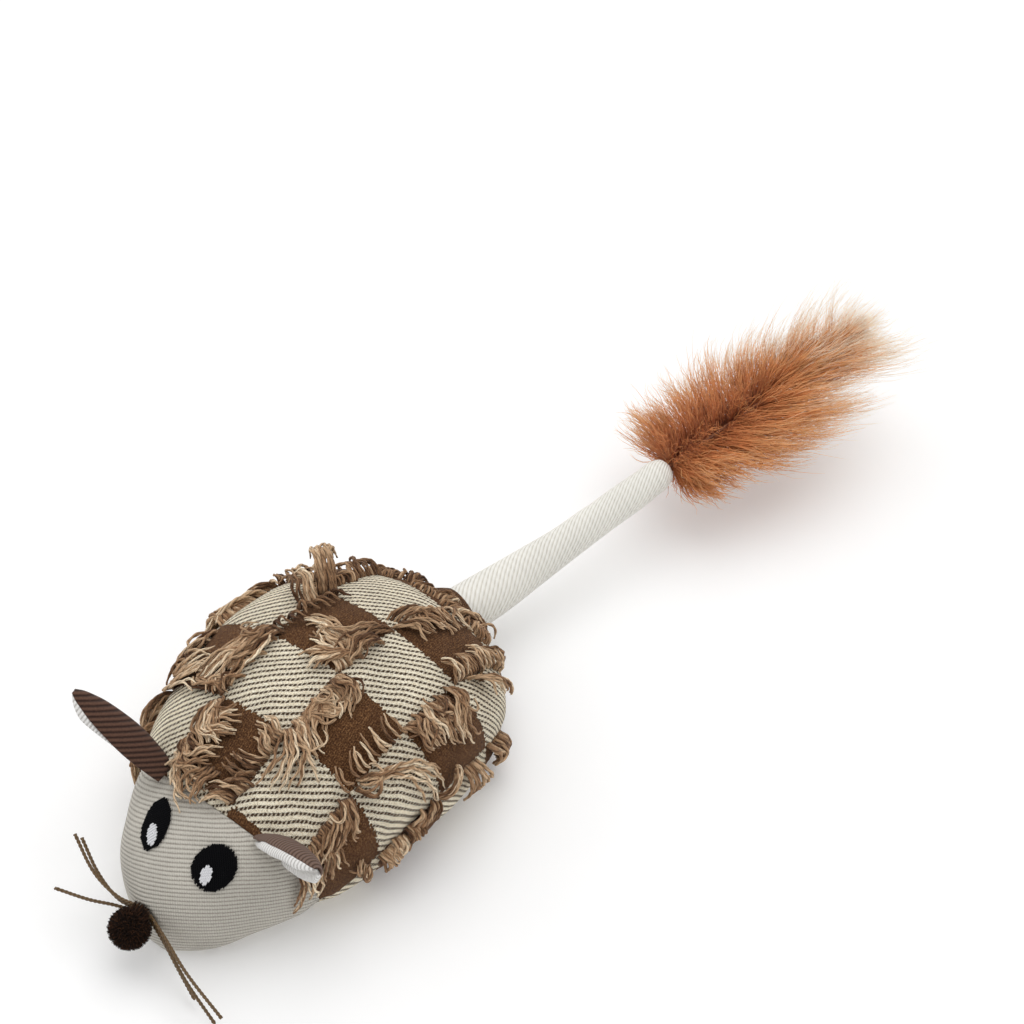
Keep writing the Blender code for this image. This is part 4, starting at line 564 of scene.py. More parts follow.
seam_near = np.exp(-(body_shares * BODY_COVER_LENGTH / FRONT_PULL_REACH) ** 2)[:, None]
rear_near = np.exp(-((1.0 - body_shares) * BODY_COVER_LENGTH / REAR_PULL_REACH) ** 2)[:, None]
u, v = signed / MM, body[..., 1] / MM
square_edge = np.minimum(to_square_edge(u, CHECK_LINE, CHECK_ACROSS), to_square_edge(v, CHECK_START_Y, CHECK_LENGTH))
puff = 1.0 - np.exp(-(square_edge / PUFF_REACH) ** 2)
depth = (seam_pull(signed, seam_near) - 0.8 * rear_near
         + (0.45 * lumps(body, 26 * MM, 5) + 0.35 * (puff - 1.0)) * (1 - seam_near) * (1 - rear_near)) * MM
body = body + normal * (depth * free)[..., None]
# The map counts millimetres from the crown to both sides and along the toy. The faces over the opening are left out.
quads = grid_quads(len(body), body_columns, True)
across_side = np.where(np.arange(body_columns) < half_columns, 1.0, -1.0)
face_side = np.tile(across_side, len(body) - 1)
corner_uv = np.stack([np.abs(u.ravel()[quads]) * face_side[:, None], v.ravel()[quads]], axis=-1)
face_row = np.repeat(np.arange(len(body) - 1), body_columns)
face_column = np.tile(np.arange(body_columns), len(body) - 1)
in_belly = (face_column >= BODY_SIDE_COLUMNS) & (face_column < body_columns - BODY_SIDE_COLUMNS)
keep = ~(in_belly & (face_row >= FRONT_ROWS) & (face_row < FRONT_ROWS + OPENING_ROWS))
body_cover = piece("body_cover_weave", body, quads[keep], check_weave(), uv=corner_uv[keep])
wall(body_cover, COVER_WALL)
stands_for(body_cover, "body_cover", "mouse")


# Rear gusset: the same dark cloth, a soft panel drawn in round the root of the tail. It is sewn to the body cover's
# rear edge and to the tail sleeve, and it gives as the tail swings.

TAIL_REST = math.radians(13)
PIVOT_Y, TAIL_AXIS_Z, TAIL_LENGTH, TAIL_RISE = 52 * MM, 16 * MM, 85 * MM, 8 * MM
PLUME_LENGTH, PLUME_RISE = 84 * MM, 9 * MM
TAPER = np.array(((0.10, 1.0), (0.22, 0.95), (0.40, 0.82), (0.56, 0.71), (0.72, 0.665), (0.90, 0.64),
                  (0.965, 0.58), (0.99, 0.40), (1.0, 0.155)))
TAIL_ROOT_RADIUS = 7.25 * MM


def tail_line(distance):
    """Middle line of the tail and plume at a distance behind the pivot: straight in plan, and rising with the
    square of the distance along the tail, then evenly along the plume."""
    distance = np.asarray(distance, float)
    beyond = np.maximum(distance - TAIL_LENGTH, 0.0)
    share = np.minimum(distance, TAIL_LENGTH) / TAIL_LENGTH
    height = TAIL_AXIS_Z + TAIL_RISE * share**2 + PLUME_RISE * beyond / PLUME_LENGTH
    return np.stack([distance * math.sin(TAIL_REST), PIVOT_Y + distance * math.cos(TAIL_REST), height], axis=-1)


def tail_radius(distance):
    """Radius of the sleeve at a distance behind the pivot, from the table of its taper."""
    share = np.clip(distance / TAIL_LENGTH, TAPER[0, 0], 1.0)
    return TAIL_ROOT_RADIUS * curve(share, TAPER[:, 0], TAPER[:, 1])


UP = np.array((0.0, 0.0, 1.0))


def square_to(line, up):
    """Unit vectors sideways and upward from a line, both square to it."""
    ahead = unit(np.gradient(line, axis=-2))
    side = unit(np.cross(ahead, up))
    return side, np.cross(side, ahead)


def about_line(line, radius, around):
    """Rings square to a line that is never upright: radius (rows, columns) at the angles around."""
    side, up = square_to(line, UP)
    return (line[:, None] + radius[..., None] * (side[:, None] * np.cos(around)[..., None]
                                                  + up[:, None] * np.sin(around)[..., None]))


def corners(rows, columns):
    """Column and row numbers of each quad's corners over a closed grid, the last column counted one past."""
    return (np.tile(np.arange(columns), rows - 1)[:, None] + np.array((0, 1, 1, 0)),
            np.repeat(np.arange(rows - 1), columns)[:, None] + np.array((0, 0, 1, 1)))


def gusset_cloth():
    """Dark twill on the gusset's own map."""
    look = Look("gusset_cloth")
    twill = look.along(look.flat(), (1.0, 0.3, 0.0), 0.8).wave()
    fuzz = look.fuzz(2400.0)
    speckle = look.spread(fuzz, 0.32, 0.68)
    grain = look.noise(look.place(), 1500.0, 2.0, 0.7)
    colour = look.ramp(twill * 0.18 + speckle * 0.38 + grain * 0.5, (0.25, (0.026, 0.009, 0.003)),
                       (0.56, (0.105, 0.047, 0.019)), (0.9, (0.34, 0.185, 0.090)))
    return look.cloth(colour, fuzz, twill * 0.3 + speckle * 0.5)


GUSSET_ROWS, GUSSET_COLUMNS, GUSSET_WALL = 22, 96, 0.9 * MM
GUSSET_BULGE, GATHER_DEPTH, GATHERS, GUSSET_PITCH = 3.6 * MM, 0.45 * MM, 17, (0.9, 0.6)
# Lines run from the body cover's rear edge to a ring inside the sleeve. They bulge back by a sine on their way, and a
# wave round the tail gathers them.
around = TURN / 4 - TURN * np.arange(GUSSET_COLUMNS) / GUSSET_COLUMNS
edge_turn = (TURN / 4 - angle[-1]) % TURN
mouth = np.stack([np.interp(TURN / 4 - around, edge_turn, body[-1, :, k], period=TURN) for k in range(3)], axis=-1)
mouth[:, 1] += 0.05 * MM
root_line = tail_line(np.array((8.0, 9.4, 10.8)) * MM)
root = about_line(root_line, np.full((3, GUSSET_COLUMNS), TAIL_ROOT_RADIUS + 0.6 * MM), around)[1]
share = np.linspace(0.0, 1.0, GUSSET_ROWS)[:, None, None]
ease = share**0.75
gusset = mouth * (1.0 - ease) + root * ease
gusset[..., 1] = (mouth[..., 1] + GUSSET_BULGE * np.sin(share[..., 0] * TURN / 4 * 1.1)
                  + (root[..., 1] - mouth[..., 1] - GUSSET_BULGE) * share[..., 0] ** 2)
gusset[..., 1] += np.cos(around * GATHERS) * GATHER_DEPTH * np.sin(share[..., 0] * TURN / 2)
gusset[..., 2] = np.maximum(gusset[..., 2], 0.3 * MM)
uv = np.stack(corners(GUSSET_ROWS, GUSSET_COLUMNS), axis=-1) * np.array(GUSSET_PITCH)
gusset_piece = piece("rear_gusset_cloth", gusset, grid_quads(GUSSET_ROWS, GUSSET_COLUMNS, True), gusset_cloth(), uv=uv)
wall(gusset_piece, GUSSET_WALL)
bpy.context.view_layer.objects.active = gusset_piece
with bpy.context.temp_override(object=gusset_piece, active_object=gusset_piece):
    bpy.ops.object.modifier_apply(modifier="wall")
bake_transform(gusset_piece)
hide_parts("rear_gusset")


# Fringe: cut ends of two-ply yarn along the long edges of the dark squares. The yarns are held in the weave at one
# end, lie loosely over the dark squares and keep the crimp of the weave. More of them stand round the tail's root.

YARN_TWIST = 7.0


def yarn_look():
    """Two plies softly twisted together, one turn in the yarn's twist: the map runs round the yarn in turns and
    along it in millimetres."""
    look = Look("fringe_yarn")
    flat, tone = look.flat(), look.tone()
    u, v = look.parts(flat)
    ply = abs(((u - v / YARN_TWIST) * TURN).math("COSINE"))
    hairs = look.noise(look.add("CombineXYZ", {}, {0: u * 9.0 + v * 1.6, 1: v * 0.35, 2: tone * 40.0}), 1.0, 2.0, 0.6)
    fuzz = look.fuzz(2800.0)
    mixed = tone * 0.72 + hairs * 0.45 + look.spread(v, 4.0, 17.0, -0.12, 0.16)
    colour = look.ramp(mixed, (0.20, (0.090, 0.042, 0.020)), (0.42, (0.30, 0.170, 0.090)),
                       (0.68, (0.56, 0.380, 0.230)), (1.0, (0.92, 0.77, 0.56)))
    # The colour is shaded by the plies: darker in the groove between them, as painted shade, and lighter on their
    # crests, as painted highlight, with the fuzz's own speckle.
    share = look.spread(ply * 0.7 + look.spread(fuzz, 0.3, 0.7) * 0.45, 0.05, 0.95, 0.42, 1.18)
    return look.finish(look.shade(colour, share), 0.95, ply * 0.5 + hairs * 0.5 + fuzz * 0.4, 0.3 * MM,
                       Sheen_Weight=0.10, Sheen_Roughness=0.4, Specular_IOR_Level=0.2)


def strands(paths, ups, radius, sides, tone, taper, lobe=0.0):
    """Tubes along many paths at once: each ring stands square to its path, and both ends are closed. With a lobe,
    the ring swells on two sides, which turn along the path as two plies do. Returns points, quads, a map per corner
    and a shade per point."""
    count, steps = paths.shape[:2]
    side, up = square_to(paths, ups)
    size = np.broadcast_to(radius, (count,))[:, None] * (1.0 - taper * np.linspace(0.0, 1.0, steps)**3)
    along = running_length(paths) / MM
    around = TURN * np.arange(sides) / sides
    size = size[..., None] * (1.0 + lobe * np.cos(2 * (around - TURN * along[..., None] / YARN_TWIST)))
    rings = (paths[:, :, None] + size[..., None] * (side[:, :, None] * np.cos(around)[:, None]
                                                    + up[:, :, None] * np.sin(around)[:, None]))
    first = (np.arange(count) * steps * sides)[:, None, None]
    quads = grid_quads(steps, sides, True)[None] + first
    column, row = corners(steps, sides)
    uv = np.stack([np.broadcast_to(column / sides, (count, *column.shape)), along[:, row]], axis=-1)
    cap = np.arange(sides)
    ends = np.concatenate([first[:, 0] + cap, first[:, 0] + (steps - 1) * sides + cap[::-1]])
    return (rings.reshape(-1, 3), quads.reshape(-1, 4)[:, ::-1], uv.reshape(-1, 4, 2)[:, ::-1],
            np.repeat(np.asarray(tone, float), steps * sides), ends)


def strand_piece(name, made_of, look):
    """One object from what strands gave back."""
    points, quads, uv, tone, ends = made_of
    return piece(name, points, quads, look, uv=uv, tone=tone, ends=list(ends))


def yarn_paths(y, across, way, curl, bend, phase, length, rise):
    """Paths that start in the cover at (y, across) and run off in a direction on the cover. Their heading turns by
    the curl, and swings by the bend in one long wave. They lift off by the rise and fall back. Directions are
    angles from the +across way."""
    def travelled(part):
        return np.concatenate([np.zeros((len(y), 1)), np.cumsum(part * step, axis=1)[:, :-1]], axis=1)
    s = np.linspace(0.0, 1.0, YARN_STEPS)[None, :]
    heading = (way[:, None] + curl[:, None] * s**1.4 + bend[:, None] * np.sin(TURN * (0.95 * s + phase[:, None]))
               + 0.28 * np.sin(TURN * (length[:, None] * s / CRIMP + phase[:, None] * 3)))
    step = length[:, None] / (YARN_STEPS - 1)
    lift = 0.45 * MM + rise[:, None] * np.sin(TURN / 2 * s**0.8 * 0.85)
    lift = np.maximum(lift, 0.4 * MM) - ROOT_DEPTH * np.exp(-((s * 9) ** 2))
    place = np.clip(y[:, None] + travelled(np.sin(heading)), SNOUT_Y + 2 * MM, FRINGE_END_Y)
    paths, ups = on_cover(place, across[:, None] + travelled(np.cos(heading)), lift)
    paths[..., 2] = np.maximum(paths[..., 2], LOWEST_YARN_Z)
    return paths, ups


def yarn_piece(name, node, lock_rows, chance):
    """One band of fringe. Each lock row gives y, across, way, curl, bend, phase, length, rise, width of the lock
    and the number of yarns in it. The yarns of a lock keep its habits, with a little of their own."""
    yarns = [int(row[-1]) for row in lock_rows]
    y, across, way, curl, bend, phase, length, rise, wide, _ = np.repeat(np.array(lock_rows), yarns, axis=0).T
    count = len(y)

    def small(spread):
        return chance.normal(0.0, spread, count)

    share = np.concatenate([np.linspace(-0.5, 0.5, number) for number in yarns])
    stray = chance.random(count) < STRAY_SHARE
    paths, ups = yarn_paths(
        y + share * wide * np.abs(np.cos(way)) + small(0.2) * MM,
        across + share * wide * np.abs(np.sin(way)) + small(0.2) * MM, way + share * 0.25 + small(0.09),
        np.where(stray, small(1.8), curl + small(0.22)), bend + small(0.08), phase + small(0.04),
        length * chance.uniform(0.72, 1.0, count),
        np.where(stray, chance.uniform(1.0, 3.5, count) * MM, rise + np.abs(small(0.5)) * MM))
    shade = chance.normal(0.0, 0.10, len(lock_rows)).repeat(yarns)
    tone = np.clip(0.47 + shade + small(0.24), 0.0, 1.0)
    made = strand_piece(name, strands(paths, ups, YARN_RADIUS * chance.uniform(0.75, 1.15, count), YARN_SIDES,
                                      tone, taper=0.5, lobe=0.24), yarn_material)
    stands_for(made, node, "mouse")


YARN_STEPS, YARN_SIDES, YARN_RADIUS, CRIMP = 20, 8, 0.45 * MM, 5.2 * MM
ROOT_DEPTH, LOWEST_YARN_Z, FRINGE_END_Y = 0.9 * MM, 0.7 * MM, 59 * MM
YARNS_PER_LOCK, STRAY_SHARE, LOWEST_ROOT_Z, FROM_SEAM = 12, 0.07, 13 * MM, 2.0 * MM
# For each band and square: number of locks, their lean from straight across in radians and their length in mm.
EVEN_LOCKS = (((4, -0.9, 11), (4, -1.0, 12), (4, -1.1, 12), (4, -0.8, 10)),
              ((5, -0.7, 12), (5, -1.0, 14), (5, -1.1, 15), (2, -0.8, 8)),
              ((6, -0.25, 13), (5, -0.7, 12), (1, 0.2, 7), (2, 0.1, 8)),
              ((3, -0.3, 9), (6, -0.2, 13), (5, -0.9, 14), (3, 0.2, 9)),
              ((6, -0.4, 12), (1, -0.2, 7), (5, -0.9, 11), (2, 0.0, 8)),
              ((3, -1.0, 7), (5, -1.25, 5), (0, 0.0, 0), (4, -0.5, 10)))
# Locks that lie or stand differently from the rest of their band: number of the band, y and across in millimetres,
# way, curl and bend in radians, phase, length, rise and width in millimetres, and yarns.
ODD_LOCKS = ((3, 26, -14, 2.2, 0.3, 0.3, 0.1, 17, 9.0, 5, 14), (3, 20, -15, 2.6, 0.5, 0.3, 0.4, 13, 5.0, 5, 9),
             (3, 9, -17, -1.75, 0.2, 0.25, 0.2, 22, 1.5, 5, 13), (5, -10, 29.5, 0.85, -0.3, 0.25, 0.0, 29, 1.6, 3, 9),
             (5, -12, 30, 0.2, 4.4, 0.1, 0.3, 13, 1.6, 2, 4), (5, 34, 30.5, 0.4, 0.8, 0.4, 0.2, 11, 4.0, 5, 9),
             (6, 19, 51.5, 0.2, -0.8, 0.4, 0.6, 11, 3.0, 6, 10), (6, 5, 51, 1.2, 2.2, 0.4, 0.1, 11, 2.0, 4, 8),
             (4, -31, -3, -1.65, -0.2, 0.3, 0.4, 11, 1.4, 4, 5), (3, -31, -13, -0.2, 1.2, 0.4, 0.7, 13, 2.0, 4, 8),
             (4, 31, 8, 0.3, 0.8, 0.3, 0.2, 10, 2.0, 6, 12))
ODD_UNITS = np.array((MM, MM, 1, 1, 1, 1, MM, MM, MM, 1))
yarn_material = yarn_look()
for number, line in enumerate(range(-3, 3), 1):
    chance = np.random.default_rng(300 + number)
    rows = []
    for square, (locks, lean, longest) in enumerate(EVEN_LOCKS[number - 1]):
        towards = 1.0 if (square + line) % 2 else -1.0
        for lock in range(locks):
            inset = (lock + 0.5) / locks
            y = CHECK_START_Y + CHECK_LENGTH * (square + inset)
            across = CHECK_LINE + line * CHECK_ACROSS
            root = on_cover(np.array(y * MM), np.array(across * MM))[0]
            turned_in = lean * min(1.0, 1.6 * inset) + 0.45 * max(0.0, 0.4 - inset) + chance.normal(0.0, 0.34)
            way = turned_in if towards > 0 else TURN / 2 - turned_in
            row = (y * MM, across * MM, way, towards * chance.normal(0.0, 0.8), chance.uniform(0.2, 0.6),
                   chance.uniform(0, 1), longest * chance.uniform(0.8, 1.45) * MM, chance.uniform(0.4, 2.4) * MM,
                   CHECK_LENGTH / locks * MM, YARNS_PER_LOCK)
            seam_y = SEAM_TOP_Y + SEAM_LEAN * (SEAM_TOP_Z - root[2])
            if root[2] > LOWEST_ROOT_Z and y * MM > seam_y + FROM_SEAM:
                rows.append(row)
    rows += [np.array(lock) * ODD_UNITS for band, *lock in ODD_LOCKS if band == number]
    yarn_piece("fringe_yarns_%d" % number, "fringe_line_%d" % number, rows, chance)

chance = np.random.default_rng(211)
rows = [(chance.uniform(48.0, 51.5) * MM, across * MM, TURN / 4 + chance.normal(0.0, 0.4), chance.normal(0.0, 0.6),
         chance.uniform(0.2, 0.6), chance.uniform(0, 1), chance.uniform(5.2, 7.1) * MM, chance.uniform(0.4, 1.8) * MM,
         3.5 * MM, 6) for across in np.linspace(-24, 24, 15)]
yarn_piece("fringe_yarns_tail", "fringe_tail_root", rows, chance)


# Eyes: black satin stitches worked straight onto the knit, with a small white highlight worked over them. Each
# stitch is a short raised loop, so the outline runs in steps.

def stitch_look(name, dark, light, gloss):
    look = Look(name)
    lines = look.noise(look.place(), 5200.0, 2.0, 0.6)
    return look.finish(look.ramp(lines, (0.3, dark), (0.75, light)), look.spread(lines, 0.2, 0.8, 0.7, 0.9), lines,
                       0.1 * MM, Specular_IOR_Level=gloss)


def stitches(name, y0, across0, length, width, slant, lift, thickness, look):
    """Rows of stitches inside an oval whose rows are slid sideways by the slant. Each is a pillow: a grid lifted by
    the product of two half waves, closed by its flat underside."""
    pitch_y, pitch_a, across_pillow = 0.62 * MM, 0.42 * MM, 5
    rows, columns = int(length / pitch_y) + 2, int(width / pitch_a) + 2
    i, j = np.meshgrid(np.arange(rows), np.arange(columns), indexing="ij")
    y = (i - (rows - 1) / 2 + 0.5 * (j % 2)) * pitch_y
    a = (j - (columns - 1) / 2) * pitch_a
    inside = (y / (length / 2)) ** 2 + (a / (width / 2)) ** 2 < 1.0
    y, a = y0 + y[inside], across0 + a[inside] + slant * y[inside]
    k = np.linspace(-1.0, 1.0, across_pillow)
    gy, ga = np.meshgrid(k, k, indexing="ij")
    dome = (np.cos(gy * TURN / 4) * np.cos(ga * TURN / 4)) ** 0.5
    upper, lower = (on_cover(y[:, None, None] + gy * pitch_y * half, a[:, None, None] + ga * pitch_a * half, height)[0]
                    for half, height in ((0.62, lift + thickness * (0.45 + 0.55 * dome)), (0.5, 0 * dome + lift)))
    layer = np.arange(k.size**2).reshape(k.size, k.size)
    points = np.stack([upper, lower], axis=1)
    top = grid_quads(k.size, k.size)
    rim = np.concatenate([layer[0], layer[1:, -1], layer[-1, -2::-1], layer[-2:0:-1, 0]])
    following = np.roll(rim, -1)
    skirt = np.stack([rim, rim + layer.size, following + layer.size, following], axis=-1)
    one = np.concatenate([top, top[:, ::-1] + layer.size, skirt])
    quads = (one[None] + (np.arange(len(y)) * 2 * layer.size)[:, None, None]).reshape(-1, 4)
    return piece(name, points, quads, look)


black = stitch_look("eye_thread", (0.0006, 0.0006, 0.001), (0.004, 0.004, 0.005), 0.08)
white = stitch_look("highlight_thread", (0.62, 0.62, 0.64), (0.86, 0.86, 0.88), 0.25)
# Each eye: its side, length, width and slant, then the length and slant of its highlight.
EYES = (("right", -1, 11.5 * MM, 8.0 * MM, -0.30, 4.0 * MM, -0.6),
        ("left", 1, 10.4 * MM, 10.6 * MM, 0.25, 3.3 * MM, -0.1))
GLINTS_Y, GLINT_WIDTH = -50.4 * MM, 3.0 * MM
for side, sign, length, width, slant, glint_length, glint_slant in EYES:
    across0 = (FACE_MIDDLE + sign * EYES_APART) * MM
    eye = stitches("eye_stitches_" + side, EYES_Y * MM, across0, length, width, slant, 0.2 * MM, 0.5 * MM, black)
    glint = stitches("highlight_stitches_" + side, GLINTS_Y, across0 + (0.3 - sign) * MM, glint_length,
                     GLINT_WIDTH, glint_slant, 0.75 * MM, 0.45 * MM, white)
    stands_for(eye, "eye_" + side, "mouse")
    stands_for(glint, "eye_highlight_" + side, "mouse")


# Nose: a ball of very dark cut yarn, drawn tight against the snout on its own thread. Its fibres stand outward, and
# those at the back reach the snout over and under the whiskers.

POMPOM_CENTRE, POMPOM_RADIUS, POMPOM_BACK_Y = np.array((0.0, -68.4, 14.0)) * MM, 5.8 * MM, -64.3 * MM
NOSE_FIBRES, FIBRE_RADIUS, FIBRE_LEAN, FIBRE_ROOT_SHARE = 2600, 0.16 * MM, 0.45 * MM, 0.72
OVER_WHISKERS_Z, UNDER_WHISKERS_Z = 16.9 * MM, 10.6 * MM
CORE_RINGS, CORE_COLUMNS, CORE_SHARE = 22, 36, 0.8


def nose_look():
    look = Look("nose_yarn")
    fuzz = look.noise(look.place(), 1500.0, 2.0, 0.7)
    colour = look.ramp(look.tone(), (0.0, (0.006, 0.0022, 0.001)), (0.6, (0.020, 0.008, 0.0035)),
                       (1.0, (0.075, 0.030, 0.013)))
    return look.finish(look.shade(colour, look.spread(fuzz, 0.2, 0.8, 0.6, 1.2)), 0.9, fuzz, 0.2 * MM,
                       Specular_IOR_Level=0.2)


# The fibres leave the middle in ways spread evenly by the golden angle. Each leans aside with the square of its share,
# and a back one that misses the whiskers reaches on to the snout in the same way.
golden = math.pi * (3.0 - math.sqrt(5.0))
k = np.arange(NOSE_FIBRES) + 0.5
rise = 1.0 - 2.0 * k / NOSE_FIBRES
ring = np.sqrt(1.0 - rise**2)
way = np.stack([ring * np.cos(golden * k), rise, ring * np.sin(golden * k)], axis=-1)
chance = np.random.default_rng(31)
way = unit(way + chance.normal(0.0, 0.07, way.shape))
lean = unit(np.cross(way, chance.normal(size=way.shape)))
s = np.linspace(0.0, 1.0, 4)[None, :, None]
start = POMPOM_RADIUS * FIBRE_ROOT_SHARE
reach = chance.uniform(0.88, 1.0, NOSE_FIBRES)[:, None, None] * POMPOM_RADIUS
paths = POMPOM_CENTRE + way[:, None] * (start + (reach - start) * s) + lean[:, None] * s**2 * FIBRE_LEAN
paths[..., 1] = np.minimum(paths[..., 1], POMPOM_BACK_Y - 0.1 * MM)
tip_y, tip_z = paths[:, -1, 1], paths[:, -1, 2]
behind = np.clip((tip_y - POMPOM_BACK_Y + 1.4 * MM) / MM, 0.0, 1.0)
over = behind * np.clip((tip_z - OVER_WHISKERS_Z) / (0.3 * MM), 0.0, 1.0)
under = behind * np.clip((UNDER_WHISKERS_Z - tip_z) / (0.3 * MM), 0.0, 1.0)
to_snout = (SNOUT_Y - 0.75 * MM - tip_y) * (over + under)
paths[..., 1] += to_snout[:, None] * s[..., 0] ** 2
points, quads, _, shade, ends = strands(paths, lean[:, None], FIBRE_RADIUS, 3, chance.uniform(0, 1, NOSE_FIBRES),
                                        taper=0.6)
# A smaller ball, flat at the back, closes the gaps between them. Its tone of 0.15, darker than most fibres, is painted
# shade deep between the fibres.
down = np.linspace(0.02, 0.98, CORE_RINGS)[:, None] * TURN / 2
around = TURN * np.arange(CORE_COLUMNS) / CORE_COLUMNS
ball = POMPOM_CENTRE + POMPOM_RADIUS * CORE_SHARE * np.stack(
    [np.sin(down) * np.cos(around), np.cos(down) + 0 * around, np.sin(down) * np.sin(around)], axis=-1)
ball[..., 1] = np.minimum(ball[..., 1], POMPOM_BACK_Y)
core = len(points) + np.arange(CORE_RINGS * CORE_COLUMNS).reshape(CORE_RINGS, CORE_COLUMNS)
nose = piece("nose_pompom_yarn", np.concatenate([points, ball.reshape(-1, 3)]),
             np.concatenate([quads, grid_quads(CORE_RINGS, CORE_COLUMNS, True) + len(points)]), nose_look(),
             tone=np.concatenate([shade, np.full(core.size, 0.15)]), ends=list(ends) + [core[0, ::-1], core[-1]])
stands_for(nose, "nose_pompom", "mouse")


# Whiskers: three brown waxed cords of two plies, threaded through the snout behind the nose and trimmed. The wax
# keeps them stiff.

# Each route, from the mouse's right through the snout to its left, in shares of 33 mm from the snout.
WHISKER_ROUTES = np.array((
    ((-0.727, 0.021, 0.773), (-0.473, -0.067, 0.603), (-0.230, -0.076, 0.503), (0.0, -0.027, 0.476),
     (0.227, -0.079, 0.424), (0.576, -0.194, 0.352), (0.997, -0.282, 0.261)),
    ((-0.709, 0.064, 0.691), (-0.473, -0.027, 0.539), (-0.230, -0.067, 0.452), (0.0, -0.027, 0.430),
     (0.224, -0.079, 0.370), (0.561, -0.209, 0.273), (0.945, -0.309, 0.164)),
    ((-0.685, -0.297, 0.455), (-0.436, -0.194, 0.409), (-0.230, -0.088, 0.385), (0.0, -0.027, 0.385),
     (0.212, -0.073, 0.315), (0.424, -0.145, 0.206), (0.652, -0.221, 0.097)))) * 33 * MM + np.array(
         (0.0, SNOUT_Y, 0.0))
CORD_STEPS, PLY_TWIST, PLY_OFFSET, PLY_RADIUS = 260, 2.2 * MM, 0.20 * MM, 0.30 * MM


def waxed_look():
    look = Look("waxed_cord")
    u, v = look.parts(look.flat())
    fibres = look.noise(look.place(), 3500.0, 2.0, 0.7)
    turns = (u * 3 + v / 0.8).wave()
    colour = look.ramp(fibres * 0.7 + turns * 0.3, (0.25, (0.055, 0.028, 0.009)), (0.6, (0.15, 0.085, 0.030)),
                       (0.9, (0.27, 0.165, 0.065)))
    return look.finish(colour, look.spread(fibres, 0.2, 0.8, 0.35, 0.6), turns * 0.5 + fibres * 0.5, 0.12 * MM)


# A smooth curve through each route's stops, with two plies that wind about it and flare at the cut ends.
waxed = waxed_look()
for number, route in enumerate(WHISKER_ROUTES, 1):
    stops = np.linspace(0.0, 1.0, len(route))
    fine = np.linspace(0.0, 1.0, CORD_STEPS)
    line = np.stack([curve(fine, stops, route[:, k]) for k in range(3)], axis=1)
    side, up = square_to(line, UP)
    length = running_length(line)
    flare = 1.0 + 0.3 * (np.exp(-length / MM) + np.exp(-(length[-1] - length) / MM))
    phase = TURN * (length / PLY_TWIST + np.array((0.0, 0.5))[:, None])
    plies = line + (side * np.cos(phase)[..., None] + up * np.sin(phase)[..., None]) * (PLY_OFFSET * flare)[:, None]
    made = strand_piece("whisker_%d" % number, strands(plies, UP, PLY_RADIUS, 8, (0.4, 0.6), taper=0.0), waxed)
    stands_for(made, "whisker_cord_%d" % number, "mouse")


# Ears: each a petal of brown ribbed knit folded about its length, with a pale ribbed lining whose edge rolls out
# over the rim. Their roots are sewn down behind the head's seam.

EAR_LENGTH, EAR_WIDTH, EAR_WALL, EAR_LINING_WALL = 33 * MM, 14 * MM, 1.1 * MM, 0.8 * MM
EAR_FOLD = math.radians(66)
EAR_LIP, EAR_LIP_WALL = 2.0 * MM, 2.6 * MM
EARS_APART, EARS_BEHIND_SEAM, EAR_SUNK = 19, 1.6 * MM, 3 * MM
EAR_ROWS, EAR_COLUMNS = 48, 72
# Share of the full width at shares of the length.
EAR_WIDTHS = np.array(((0.0, 0.62), (0.18, 0.86), (0.42, 1.0), (0.66, 0.88), (0.85, 0.62), (0.96, 0.34), (1.0, 0.16)))
# Each ear: its side, the way that it points and the way that its hollow faces.
EAR_AIMS = {"right": (-1, Vector((-0.81, -0.12, 0.57)), Vector((-0.36, -0.61, -0.70))),
            "left": (1, Vector((0.76, -0.21, 0.61)), Vector((0.04, -0.94, -0.36)))}
# Share of the length at which the lining starts to roll out.
LIP_STARTS = {"right": 0.42, "left": 0.0}


def ear_look(name, dark, middle, light, coordinates, direction, pitch, sharp=1.0):
    """Ribs across a direction of the ear's own map or of the toy. The sharper they are, the narrower their crests."""
    look = Look(name)
    mapped = look.flat() if coordinates == "map" else look.place()
    rib = look.along(mapped, direction, pitch).ribs().math("POWER", sharp)
    loop = look.noise(look.place(), 1500.0, 1.0) * 0.6
    fuzz = look.fuzz(2600.0)
    height = rib * 0.8 + loop * 0.15 + fuzz * 0.3
    # The colour is darkest in the furrows between the ribs, as painted shade, and lightest on their crests, as painted
    # highlight.
    colour = look.ramp(look.spread(rib * 0.7 + look.spread(fuzz, 0.3, 0.7) * 0.3, 0.0, 1.0), (0.0, dark), (0.5, middle),
                       (1.0, light))
    return look.cloth(colour, fuzz, height)


